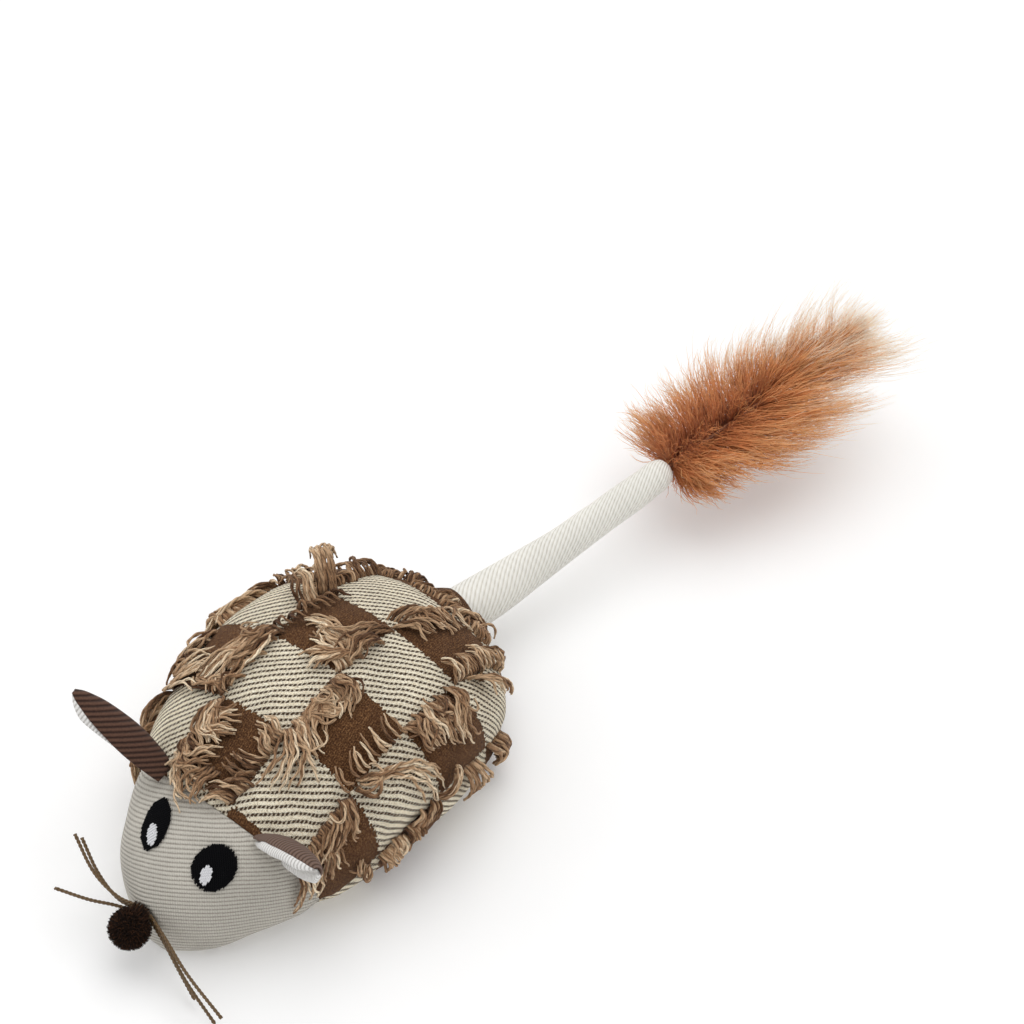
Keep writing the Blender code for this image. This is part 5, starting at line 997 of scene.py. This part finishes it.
def petal(name, side, start, thickness, rim, look, lip=0.0):
    """Closed sections along the ear: each follows the arc of the fold, out on one face and back on the other, round
    the rims. A lip goes straight on past the arc's ends and is rolled, so it is thicker there. Points inside the cover
    move out onto it."""
    sign, aim, hollow = EAR_AIMS[side]
    root, _ = on_cover(SEAM_TOP_Y + EARS_BEHIND_SEAM, (FACE_MIDDLE + sign * EARS_APART) * MM)
    along = np.array(aim.normalized())
    base = root - along * EAR_SUNK
    facing = unit(np.array(hollow) - np.array(hollow) @ along * along)
    beside = np.cross(along, facing)
    place = np.linspace(0.06, 1.0, EAR_ROWS)[:, None]
    turn = TURN * np.arange(EAR_COLUMNS) / EAR_COLUMNS
    wide, face = np.cos(turn), np.sin(turn)
    wide = np.sign(wide) * np.abs(wide) ** 0.8
    share = curve(place, EAR_WIDTHS[:, 0], EAR_WIDTHS[:, 1])
    radius = (EAR_WIDTH / 2 - rim) / math.sin(EAR_FOLD) * share
    thin = np.minimum(1.0, share / 0.6)
    half_arc = radius * EAR_FOLD
    towards_tip = np.clip((place - LIP_STARTS[side]) / 0.4, 0.02, 1.0)
    travel = wide * (half_arc + lip * thin * towards_tip)
    past = np.sign(travel) * np.maximum(np.abs(travel) - half_arc, 0.0)
    angle = np.clip(travel / radius, -EAR_FOLD, EAR_FOLD)
    rolled = np.clip((np.abs(travel) - half_arc + 0.8 * MM) / MM, 0.0, 1.0) * (lip > 0) * towards_tip
    wall_here = (thickness + (EAR_LIP_WALL - thickness) * rolled * (3 - 2 * rolled) * rolled) * thin
    round_rim = np.sqrt(np.maximum(0.0, 1.0 - np.abs(wide) ** (8 if lip else 14)))
    ripple = 0.25 * MM * np.sin(place * 19) * np.abs(wide) ** 3
    middle = radius - (start + thickness / 2) * thin + ripple + (EAR_LIP_WALL - thickness) / 3 * rolled * thin
    out = middle - np.sign(face) * wall_here / 2 * round_rim
    across = out * np.sin(angle) + past * math.cos(EAR_FOLD)
    level = radius * math.cos(EAR_FOLD) - out * np.cos(angle) + np.abs(past) * math.sin(EAR_FOLD)
    points = (base + along * ((EAR_LENGTH - rim) * place)[..., None] + beside * across[..., None]
              + facing * level[..., None])
    points = clear_of_cover(points, 0.5 * MM + start)
    quads = grid_quads(*points.shape[:2], True)
    u = travel.ravel()[quads] / MM
    v = (np.broadcast_to(place, travel.shape) * EAR_LENGTH).ravel()[quads] / MM
    cap = np.arange(EAR_COLUMNS)
    return piece(name, points, quads[:, ::-1], look, uv=np.stack([u, v], axis=-1)[:, ::-1],
                 ends=[cap, (EAR_ROWS - 1) * EAR_COLUMNS + cap[::-1]])


def clear_of_cover(points, lift):
    """Move points that lie inside the cover out to a height over it, square to the section's own ellipse."""
    y = np.clip(points[..., 1], SNOUT_Y + MM, SNOUT_Y + BODY_LENGTH - MM)
    half, high = form_at(y)
    middle = MIDDLE_HEIGHT_SHARE * high
    across = (np.abs(points[..., 0]) / (half + lift)) ** (1 / SIDE_POWER)
    rise = (np.maximum(points[..., 2] - middle, 0.0) / (high + lift - middle)) ** (1 / CROWN_POWER)
    reach = np.sqrt(across**2 + rise**2)
    grow = np.where(reach < 1.0, np.maximum(reach, 0.2) ** -0.92, 1.0)
    moved = points.copy()
    moved[..., 0] = points[..., 0] * grow
    moved[..., 2] = np.where(reach < 1.0, middle + (points[..., 2] - middle) * grow, points[..., 2])
    return moved


# One brown knit in two copies that differ in brightness: the left ear's is painted lighter, as lit, and the right ear's
# darker, as shaded.
brown_ears = {"right": ear_look("ear_knit_right", (0.024, 0.012, 0.009), (0.062, 0.031, 0.022), (0.125, 0.066, 0.045),
                                "toy", (-0.46, 0.585, 0.67), 1.3 * MM, 1.2),
              "left": ear_look("ear_knit_left", (0.060, 0.035, 0.025), (0.130, 0.080, 0.060), (0.190, 0.125, 0.098),
                               "map", (0.35, 1.0, 0.0), 1.2)}
pale_ear = ear_look("ear_lining_knit", (0.46, 0.44, 0.42), (0.74, 0.72, 0.69), (0.86, 0.85, 0.83), "map",
                    (0.1, 1.0, 0.0), 1.0)
# The gap between each petal's outer knit and its lining, and the rim taken off the lining's width and length.
LINING_GAP, LINING_RIM = 0.2 * MM, 0.5 * MM
for side in EAR_AIMS:
    outer = petal("ear_%s_knit" % side, side, 0.0, EAR_WALL, 0.0, brown_ears[side])
    lining = petal("ear_%s_lining_knit" % side, side, EAR_WALL + LINING_GAP, EAR_LINING_WALL, LINING_RIM, pale_ear,
                   EAR_LIP)
    for made, node, slot in ((outer, "outer", "ear_brown"), (lining, "lining", "ear_pale")):
        stands_for(made, "ear_%s_%s" % (side, node), "mouse")


# Tail sleeve: off-white ribbed knit, sewn as a tapering tube and closed at its tip by turning the edge in. It is
# filled over the rod that the motor swings.

def tail_look():
    """Fine slanting ribs; the map is in millimetres round and along the sleeve."""
    look = Look("tail_knit")
    flat = look.flat()
    wander = (look.noise(flat, 0.12) - 0.5) * 0.6
    rib = (look.along(flat, (0.80, -0.60, 0.0), 1.05) + wander).ribs()
    loop = look.along(flat, (-0.6, 0.8, 0.0), 0.8).wave()
    fuzz = look.fuzz(2600.0)
    height = rib * 0.75 + loop * 0.2 + fuzz * 0.3
    # The colour is darkest in the furrows between the ribs, as painted shade, and lightest on their crests, as painted
    # highlight. The fuzz's speckle and the blotches are the yarn's own.
    colour = look.ramp(look.spread(rib * 0.7 + fuzz * 0.4 + loop * 0.1, 0.15, 1.0), (0.0, (0.74, 0.70, 0.61)),
                       (0.45, (0.86, 0.835, 0.755)), (1.0, (0.93, 0.91, 0.85)))
    blotch = look.spread(look.noise(look.place(), 45.0), 0.3, 0.7, 0.94, 1.03)
    return look.cloth(look.shade(colour, blotch), fuzz, height, sheen=0.2, gloss=0.5)


TAIL_COLUMNS, TAIL_WALL, NARROWEST = 72, 1.0 * MM, 1.15 * MM
MAP_WIDTH = 36.0
# Rings about the tail's line, with the radius of the taper, uneven by lumps, and one slanting crease in it.
distance = np.concatenate([np.linspace(8.8, 82.0, 130), np.linspace(82.3, 85.0, 20)]) * MM
line = tail_line(distance)
around = TURN * np.arange(TAIL_COLUMNS) / TAIL_COLUMNS
radius = tail_radius(distance)[:, None] * (1.0 + 0 * around)
radius += 0.22 * MM * lumps(np.stack(np.broadcast_arrays(line[:, None, 0], line[:, None, 1],
                                                         np.cos(around)[None] * 9 * MM), axis=-1), 17 * MM, 9)
crease = np.exp(-((distance[:, None] / MM - 60 - 5 * np.cos(around - 1.0)) / 3.0) ** 2)
radius -= 0.35 * MM * crease * np.clip(np.cos(around - 1.6), 0, 1)
sleeve = about_line(line, np.maximum(radius, NARROWEST), around)
column, row = corners(len(distance), TAIL_COLUMNS)
uv = np.stack([column / TAIL_COLUMNS * MAP_WIDTH, distance[row] / MM], axis=-1)
tail_sleeve = piece("tail_sleeve_knit", sleeve, grid_quads(len(distance), TAIL_COLUMNS, True)[:, ::-1], tail_look(),
                    uv=uv[:, ::-1])
wall(tail_sleeve, TAIL_WALL)
stands_for(tail_sleeve, "tail_sleeve", "tail")


# Plume: a soft marabou feather in rust brown, its shaft pushed into the tail's tip and glued. Long barbs leave the
# shaft on both sides in loose locks, dark at the shaft and pale at their tips.

# Share of the full half width at shares of the length.
PLUME_FORM = np.array(((0.0, 0.5), (0.08, 0.84), (0.2, 0.98), (0.38, 1.0), (0.58, 0.95), (0.76, 0.84), (0.9, 0.64),
                       (1.0, 0.25)))
PLUME_HALF_WIDTH, PLUME_THICKNESS, SHAFT_START, ROOTS_LENGTH = 23 * MM, 13 * MM, 0.9 * MM, 68 * MM
LOCKS, FIBRES, BARB_STEPS = 400, 11, 8
SHORT_SHARE, CROSSING_SHARE = 0.28, 0.16
SHORTEST_RUN, LONGEST_RUN, TIP_RUN = -8 * MM, 28 * MM, 17 * MM


def feather_look():
    """The map's second place is the share along each barb, from the shaft to its tip."""
    look = Look("feather_down")
    v = look.add("SeparateXYZ", {}, {0: look.flat()}, "Y")
    tone = look.tone()
    colour = look.ramp(v + (tone - 0.5) * 0.35, (0.0, (0.38, 0.100, 0.026)), (0.30, (0.68, 0.235, 0.072)),
                       (0.60, (0.86, 0.43, 0.17)), (1.0, (0.99, 0.84, 0.66)))
    streak = look.noise(look.place(), 260.0, 2.0)
    return look.finish(look.shade(colour, look.spread(streak, 0.25, 0.75, 0.9, 1.12)),
                       look.spread(streak, 0.2, 0.8, 0.6, 0.85), streak, 0.05 * MM, Sheen_Weight=0.08,
                       Sheen_Roughness=0.4)


def barbs(seed, sign):
    """Locks of fine barbs: each leaves the shaft, sweeps out and forward to the feather's outline and spreads
    into its own fibres, which wave and fall with a random amount. Shorter down stands close about the shaft.
    Returns the strands and how far each goes from the dark to the pale colour."""
    def each(drawn):
        """One draw for every lock, for all its fibres."""
        return drawn.repeat(FIBRES)

    chance = np.random.default_rng(seed)
    total = LOCKS * FIBRES
    base = each(chance.uniform(0.0, 1.0, LOCKS) ** 1.2)
    short = each(chance.random(LOCKS) < SHORT_SHARE)
    # Degrees from the shaft: wide at its root, and swept forward towards its tip.
    at_root, swept = (82, 64) if sign > 0 else (108, 88)
    angle = each(chance.normal(0, 9, LOCKS)) + at_root - swept * base**0.7
    root = (TAIL_LENGTH + SHAFT_START) + np.clip(base + chance.normal(0, 0.02, total), 0, 1) * ROOTS_LENGTH
    swing = np.radians(np.clip(angle, 6, 120))
    # Reach sideways, to the outline. The side that the toy's left sees is slim at the root and full behind.
    place = np.clip((root - TAIL_LENGTH) / PLUME_LENGTH + 0.12, 0, 1)
    fuller = 0.55 + 0.55 * np.minimum(place / 0.45, 1.0) + 0.2 * np.clip((place - 0.5) / 0.25, 0.0, 1.0)
    wide = PLUME_HALF_WIDTH * curve(place, PLUME_FORM[:, 0], PLUME_FORM[:, 1]) * (fuller if sign > 0 else 1.04)
    wide = wide * each(chance.uniform(0.75, 1.06, LOCKS)) * np.where(short, 0.35, 1.0)
    fan = np.clip((base - 0.45) / 0.3, 0.0, 1.0)
    wide = wide * (1.0 - fan * (1.0 - each(chance.uniform(-0.45, 1.0, LOCKS))))
    crossing = each(chance.random(LOCKS) < CROSSING_SHARE)
    wide = wide * np.where(crossing, each(chance.uniform(-0.35, 0.3, LOCKS)), 1.0)
    # Reach forward, at the barb's angle, and farther near the tip.
    run = np.clip(np.abs(wide) * (np.cos(swing) / np.maximum(np.sin(swing), 0.15)), SHORTEST_RUN, LONGEST_RUN)
    run = np.maximum(run, TIP_RUN * np.clip((base - 0.3) / 0.3, 0.0, 1.0))
    run = np.minimum(run, TAIL_LENGTH + PLUME_LENGTH - root)
    high = PLUME_THICKNESS / 2 * (each(chance.uniform(-1.0, 1.0, LOCKS)) - 0.35 * sign * (1.0 - base))
    high = high * np.where(short, 1.1, 1.0)
    # Along each barb: it bends outward and forward, and its own spread and wave grow towards the end.
    s = np.linspace(0.0, 1.0, BARB_STEPS)
    reach = chance.uniform(0.66, 1.0, total)
    forward = root[:, None] + (run * reach)[:, None] * s**1.35
    out = (wide * reach)[:, None] * (1 - (1 - s) ** 1.35)
    spread = chance.normal(0.0, 1.0, (3, total))[:, :, None] * (s**1.2) * np.array((1.9, 1.8, 1.8))[:, None, None] * MM
    phase = chance.uniform(0, TURN, (3, total))[:, :, None]
    wave = np.sin(TURN * 1.2 * s + phase) * s * 0.7 * MM
    centre = tail_line(forward)
    beside = np.array((math.cos(TAIL_REST), -math.sin(TAIL_REST), 0.0))
    ahead = np.array((math.sin(TAIL_REST), math.cos(TAIL_REST), 0.1))
    upward = high[:, None] * np.sin(np.minimum(s * 1.6, 1.0) * TURN / 4)
    paths = (centre + beside * (sign * (0.3 * MM + out) + spread[0] + wave[0])[..., None]
             + ahead * (spread[1] + wave[1])[..., None] + UP * (upward + spread[2] + wave[2])[..., None])
    radius = chance.uniform(0.07, 0.11, total) * MM
    tone = each(chance.uniform(0, 1, LOCKS)) * 0.6 + chance.uniform(0, 0.4, total)
    radius = radius * (1.0 - 0.45 * base**1.5)
    paleness = np.where(short | crossing, 0.4, 0.66 if sign > 0 else 0.84) + 0.85 * base**1.7
    return strands(paths, np.array((0.05, 0.02, 1.0)), radius, 3, tone, taper=0.7), paleness


down = feather_look()
for side, sign in (("left", 1), ("right", -1)):
    made_of, paleness = barbs(50 + sign, sign)
    row = corners(BARB_STEPS, 3)[1][:, ::-1]
    made_of[2][..., 1] = (paleness[:, None, None] * row / (BARB_STEPS - 1)).reshape(-1, 4)
    made = strand_piece("plume_" + side, made_of, down)
    stands_for(made, "feather_vane_" + side, "tail")


# Stuffing: curled polyester fibre packed by hand into the head, the body round the motor unit, and the tail. It shows
# only through the open belly. Each wad keeps the room that it fills and has a tufted skin.

def fibre_look():
    look = Look("fibre_fill")
    place = look.place()
    fibres = look.noise(place, 900.0, 4.0, 0.75)
    clumps = look.noise(place, 160.0, 2.0, 0.6)
    colour = look.ramp(fibres * 0.6 + clumps * 0.4, (0.3, (0.60, 0.59, 0.56)), (0.55, (0.84, 0.83, 0.81)),
                       (0.75, (0.93, 0.93, 0.92)))
    return look.finish(colour, look.spread(fibres, 0.2, 0.8, 0.85, 1.0), fibres * 0.6 + clumps * 0.6, 0.8 * MM,
                       Sheen_Weight=0.3, Sheen_Roughness=0.4)


def wad(name, node, cell, look):
    """The solid's own form in even cells. Every point moves inward by up to the tuft depth, by smooth lumps."""
    merged = bmesh.new()
    merged.from_mesh(nodes[node].data)
    bmesh.ops.remove_doubles(merged, verts=merged.verts, dist=0.001 * MM)
    mesh = bpy.data.meshes.new(name)
    merged.to_mesh(mesh)
    merged.free()
    made = bpy.data.objects.new(name, mesh)
    bpy.context.scene.collection.objects.link(made)
    even = made.modifiers.new("even", "REMESH")
    even.mode, even.voxel_size = "VOXEL", cell
    cells = bpy.data.meshes.new_from_object(made.evaluated_get(bpy.context.evaluated_depsgraph_get()))
    made.modifiers.clear()
    made.data = cells
    points, normals = np.empty(len(cells.vertices) * 3), np.empty(len(cells.vertices) * 3)
    cells.vertices.foreach_get("co", points)
    cells.vertices.foreach_get("normal", normals)
    points, normals = points.reshape(-1, 3), normals.reshape(-1, 3)
    tufts = np.clip(0.5 + 0.5 * lumps(points, 7 * MM, 41), 0.0, 1.0)
    cells.vertices.foreach_set("co", (points - normals * (TUFT_DEPTH * tufts)[:, None]).ravel())
    cells.update()
    cells.shade_smooth()
    cells.materials.clear()
    cells.materials.append(look)
    return made


TUFT_DEPTH = 0.45 * MM
fibre = fibre_look()
for node, body_name, cell in (("head_stuffing", "mouse", 1.4 * MM), ("body_stuffing", "mouse", 1.4 * MM),
                              ("tail_stuffing", "tail", 0.9 * MM)):
    made = wad(node.replace("stuffing", "fibre"), node, cell, fibre)
    stands_for(made, node, body_name)


# Belly flap: a panel of the dark cloth, turned in and stitched round its edge, that closes the opening under the motor
# unit. It is sewn along its rear edge, and hook tape inside its front edge grips loop tape sewn before the opening.

FLAP_X, FLAP_FRONT, FLAP_REAR, FLAP_WALL = 17.3 * MM, 9.91 * MM, 47.01 * MM, 0.8 * MM
HEM = 2.3 * MM


def flap_cloth():
    """The map is in millimetres from the panel's middle; the stitches run inside the hem."""
    look = Look("flap_cloth")
    flat = look.flat()
    u, v = look.parts(flat)
    from_edge = (FLAP_X / MM - abs(u)).math("MINIMUM", (FLAP_REAR - FLAP_FRONT) / MM / 2 - abs(v))
    at_hem = 1.0 - look.spread(abs(from_edge - HEM / MM), 0.12, 0.28)
    thread = at_hem * look.spread(((u + v) * (TURN / 2.4)).math("SINE"), -0.3, 0.3)
    twill = look.along(flat, (1.0, 0.6, 0.0), 0.8).wave()
    fuzz = look.fuzz(2400.0)
    cloth = look.ramp(twill * 0.25 + look.spread(fuzz, 0.32, 0.68) * 0.75, (0.0, (0.030, 0.012, 0.005)),
                      (0.5, (0.098, 0.045, 0.020)), (1.0, (0.26, 0.145, 0.075)))
    colour = look.mix(thread, cloth, (0.22, 0.13, 0.075))
    return look.cloth(colour, fuzz, twill * 0.3 + fuzz * 0.4 + thread * 0.8)


def flat_grid(half_x, front, rear, rows, columns):
    """Places across and along a flat panel, with its quads facing down and a map in millimetres from its middle."""
    x, y = np.meshgrid(np.linspace(-half_x, half_x, columns), np.linspace(front, rear, rows))
    quads = grid_quads(rows, columns)[:, ::-1]
    middle = (front + rear) / 2
    uv = np.stack([x.ravel()[quads], y.ravel()[quads] - middle], axis=-1) / MM
    return x, y, quads, uv


# A flat grid, raised where the hem's stitches pinch it, by smooth lumps, and at the turned-in edge.
x, y, quads, uv = flat_grid(FLAP_X, FLAP_FRONT, FLAP_REAR, 92, 86)
from_edge = np.minimum(FLAP_X - np.abs(x), np.minimum(y - FLAP_FRONT, FLAP_REAR - y))
pinch = np.exp(-((from_edge - HEM) / (0.5 * MM)) ** 2) * (0.6 + 0.4 * np.cos((x + y) * TURN / (2.4 * MM)))
soft = 0.5 + 0.5 * lumps(np.stack([x, y, 0 * x], axis=-1), 16 * MM, 12)
turned_in = np.exp(-(from_edge / (0.35 * MM)) ** 2)
z = 0.02 * MM + (0.12 * pinch + 0.06 * np.clip(soft, 0, 1) + 0.06 * turned_in) * MM
flap = piece("belly_flap_cloth", np.stack([x, y, z], axis=-1), quads, flap_cloth(), uv=uv)
wall(flap, FLAP_WALL)
stands_for(flap, "belly_flap", "flap")


def tape_look(name, low, high):
    look = Look(name)
    place = look.place()
    weave = look.crossing(place, 0.5 * MM)
    fuzz = look.noise(place, 3000.0, 2.0, 0.7)
    return look.finish(look.ramp(weave * 0.6 + fuzz * 0.5, (0.2, low), (0.9, high)),
                       look.spread(fuzz, 0.2, 0.8, 0.55, 0.8), weave * 0.7 + fuzz * 0.3, 0.1 * MM)


def closed_strip(path, half_x, columns):
    """A tape of even thickness: the closed outline in y and z runs along x, and both ends are closed."""
    count = len(path)
    x = np.linspace(-half_x, half_x, columns)[:, None] + 0 * path[None, :, 0]
    y, z = path[None, :, 0] + 0 * x, path[None, :, 1] + 0 * x
    quads = grid_quads(columns, count, True)[:, ::-1]
    uv = np.stack([x.ravel()[quads], y.ravel()[quads]], axis=-1) / MM
    ends = [np.arange(count), (columns - 1) * count + np.arange(count)[::-1]]
    return np.stack([x, y, z], axis=-1), quads, uv, ends


def tape(name, outline, half_x, paths, radius, look):
    """A strip with an outline in y and z, and the hooks or loops that stand on it."""
    strip, quads, uv, ends = closed_strip(np.asarray(outline) * MM, half_x, 31)
    points, pile, pile_uv, _, pile_ends = strands(paths, np.array((1.0, 0.01, 0.02)), radius, 3, np.zeros(len(paths)),
                                                  0.2)
    strip = strip.reshape(-1, 3)
    start = len(strip)
    return piece(name, np.concatenate([strip, points]), np.concatenate([quads, pile + start]), look,
                 uv=np.concatenate([uv, pile_uv]), ends=ends + [end + start for end in pile_ends])


def pile_places(half_x, front, rear, pitch, chance):
    """Feet of the hooks or loops, in even rows that wander a little."""
    x, y = np.meshgrid(np.arange(-half_x + pitch, half_x - pitch / 2, pitch),
                       np.arange(front + pitch, rear - pitch / 2, pitch))
    return [(each + chance.normal(0, 0.1 * pitch, each.shape)).reshape(-1, 1) for each in (x, y)]


# Hooks lean over like half arches, and loops are low arches turned at random. Outlines are in millimetres.
chance = np.random.default_rng(77)
TAPE_X, HOOK_PITCH, HOOK_RADIUS, LOOP_PITCH, LOOP_RADIUS = 15 * MM, 0.8 * MM, 0.07 * MM, 0.7 * MM, 0.06 * MM
s = np.linspace(0.0, 1.0, 5)[None, :]
x, y = pile_places(TAPE_X, 10.3 * MM, 15.9 * MM, HOOK_PITCH, chance)
hook = np.stack([x + 0 * s, y + 0.22 * MM * (s**2 * 1.4), 0 * x + (1.38 + 0.32 * np.sin(s * TURN * 0.36)) * MM],
                axis=-1)
hooks = tape("hook_tape_strip", ((10.11, 1.24), (10.11, 1.42), (10.2, 1.46), (16.02, 1.46), (16.11, 1.42),
                                 (16.11, 1.24), (16.02, 1.2), (10.2, 1.2)), TAPE_X, hook, HOOK_RADIUS,
             tape_look("hook_tape_nylon", (0.008, 0.008, 0.008), (0.030, 0.030, 0.031)))
stands_for(hooks, "hook_tape", "flap")
x, y = pile_places(TAPE_X, 9.6 * MM, 15.9 * MM, LOOP_PITCH, chance)
turned = chance.uniform(0, TURN, x.shape)
loop = np.stack([x + 0.25 * MM * np.cos(turned) * (s - 0.5), y + 0.25 * MM * np.sin(turned) * (s - 0.5),
                 (2.22 - 0.15 * np.sin(s * TURN / 2)) * MM + 0 * x], axis=-1)
loops = tape("loop_tape_strip", ((3.61, 1.75), (3.61, 2.3), (3.75, 2.55), (3.95, 2.6), (16.02, 2.6), (16.11, 2.5),
                                 (16.11, 2.28), (16.02, 2.2), (9.5, 2.2), (9.31, 2.0), (9.31, 1.5), (9.2, 1.4),
                                 (3.95, 1.4), (3.75, 1.5)), TAPE_X, loop, LOOP_RADIUS,
             tape_look("loop_tape_pile", (0.030, 0.016, 0.010), (0.085, 0.048, 0.030)))
stands_for(loops, "loop_tape", "mouse")


# Motor unit's case: two shells moulded in black plastic with a spark-eroded grain. They close round the motor, the
# gears and the cell, and three steel screws hold them together from below.

def dress(names, look):
    """Give solids that keep their shape a finish."""
    for name in names:
        for slot in nodes[name].material_slots:
            slot.material = look


def moulded(name, low, high, rough, **constants):
    """Moulded plastic: a fine grain over faint flow marks."""
    look = Look(name)
    place = look.place()
    grain = look.noise(place, 7000.0, 2.0, 0.6)
    flow = look.noise(place, 130.0, 3.0, 0.6)
    return look.finish(look.ramp(flow * 0.7 + grain * 0.3, (0.3, low), (0.7, high)),
                       look.spread(flow, 0.3, 0.7, rough - 0.08, rough + 0.08), grain * 0.7 + flow * 0.3, 0.03 * MM,
                       **constants)


def worked_metal(name, low, high, rough, way):
    """Turned or drawn metal: fine marks drawn out along the way that the tool or die ran."""
    look = Look(name)
    marks = look.noise(look.stretched(way), 5000.0, 2.0, 0.6)
    dull = look.noise(look.place(), 300.0, 3.0, 0.6)
    look.shader.inputs["Metallic"].default_value = 1.0
    return look.finish(look.ramp(marks * 0.5 + dull * 0.5, (0.3, low), (0.7, high)),
                       look.spread(dull, 0.3, 0.7, rough - 0.08, rough + 0.1), marks, 0.02 * MM)


dress(("unit_lower_case", "unit_upper_case"),
      moulded("case_plastic", (0.010, 0.010, 0.011), (0.024, 0.024, 0.026), 0.5))
dress(("case_screw_1", "case_screw_2", "case_screw_3"),
      worked_metal("screw_steel", (0.34, 0.34, 0.35), (0.62, 0.62, 0.63), 0.35, (1.0, 1.0, 0.05)))


# Gear train: two stepped gears moulded in white nylon that turn on ground steel pins, driven by a brass pinion on the
# motor's shaft. A dark moulded lever with a toothed sector swings the tail about its own pin.

dress(("reduction_gear_1", "reduction_gear_2"),
      moulded("gear_nylon", (0.66, 0.65, 0.60), (0.80, 0.79, 0.75), 0.42, Subsurface_Weight=0.1))
dress(("tail_lever",), moulded("lever_plastic", (0.030, 0.031, 0.033), (0.060, 0.061, 0.064), 0.42))
dress(("gear_pin_1", "gear_pin_2", "tail_pivot_pin", "motor_shaft"),
      worked_metal("pin_steel", (0.48, 0.48, 0.49), (0.68, 0.68, 0.69), 0.25, (1.0, 1.0, 0.05)))
dress(("motor_pinion",), worked_metal("pinion_brass", (0.55, 0.38, 0.14), (0.76, 0.56, 0.24), 0.3, (1.0, 1.0, 0.05)))


# Motor: a small can of rolled and plated steel that lies inside the case. The pinion on its shaft starts the gear
# train.

dress(("motor",), worked_metal("motor_can", (0.42, 0.42, 0.43), (0.64, 0.64, 0.66), 0.35, (1.0, 1.0, 0.08)))


# Tail rod and feather shaft: a stiff white rod of moulded plastic carries the sleeve, and the feather's shaft, rust
# dyed with a horny gloss, is pushed into its tip.

def horn_look():
    look = Look("feather_shaft")
    grain = look.noise(look.stretched((1.0, 0.06, 1.0)), 2200.0, 3.0, 0.6)
    colour = look.ramp(grain, (0.3, (0.16, 0.042, 0.012)), (0.7, (0.34, 0.12, 0.045)))
    return look.finish(colour, look.spread(grain, 0.3, 0.7, 0.38, 0.55), grain, 0.05 * MM)


dress(("tail_rod",), moulded("rod_plastic", (0.72, 0.72, 0.70), (0.84, 0.84, 0.82), 0.45))
dress(("feather_quill",), horn_look())


# Electrical parts: a rechargeable cell in shrunk sleeve, a green printed board, soft leads, a sliding switch worked by
# a red button, a socket, a clear lamp and a small touch sensor.

def board_look():
    """Glass weave under a green mask, with paler lines where the copper runs."""
    look = Look("board_mask")
    place = look.place()
    weave = look.crossing(place, 0.7 * MM)
    tracks = look.spread(abs(look.noise(look.stretched((1.0, 0.3, 1.0)), 500.0, 0.0) - 0.5), 0.02, 0.05)
    colour = look.mix(tracks, (0.030, 0.150, 0.060), look.ramp(weave, (0.1, (0.010, 0.072, 0.026)),
                                                               (0.9, (0.016, 0.098, 0.036))))
    return look.finish(colour, look.spread(weave, 0.1, 0.9, 0.28, 0.4), weave * 0.3 + (1.0 - tracks) * 0.7, 0.03 * MM)


dress(("circuit_board",), board_look())
dress(("battery_cell",), moulded("cell_sleeve", (0.045, 0.085, 0.20), (0.065, 0.115, 0.26), 0.3))
dress(("cell_lead_1", "motor_lead_1"), moulded("red_lead", (0.38, 0.016, 0.012), (0.52, 0.030, 0.022), 0.45))
dress(("cell_lead_2", "motor_lead_2"), moulded("black_lead", (0.010, 0.010, 0.010), (0.026, 0.026, 0.027), 0.45))
dress(("power_switch",), moulded("switch_plastic", (0.10, 0.10, 0.105), (0.16, 0.16, 0.165), 0.4))
dress(("power_button",), moulded("button_plastic", (0.45, 0.020, 0.016), (0.58, 0.035, 0.028), 0.38))
dress(("charging_socket", "touch_sensor"),
      worked_metal("socket_shell", (0.50, 0.50, 0.51), (0.70, 0.70, 0.71), 0.3, (1.0, 0.1, 1.0)))
dress(("charge_lamp",), moulded("lamp_resin", (0.70, 0.72, 0.70), (0.85, 0.87, 0.85), 0.12, Transmission_Weight=0.6))
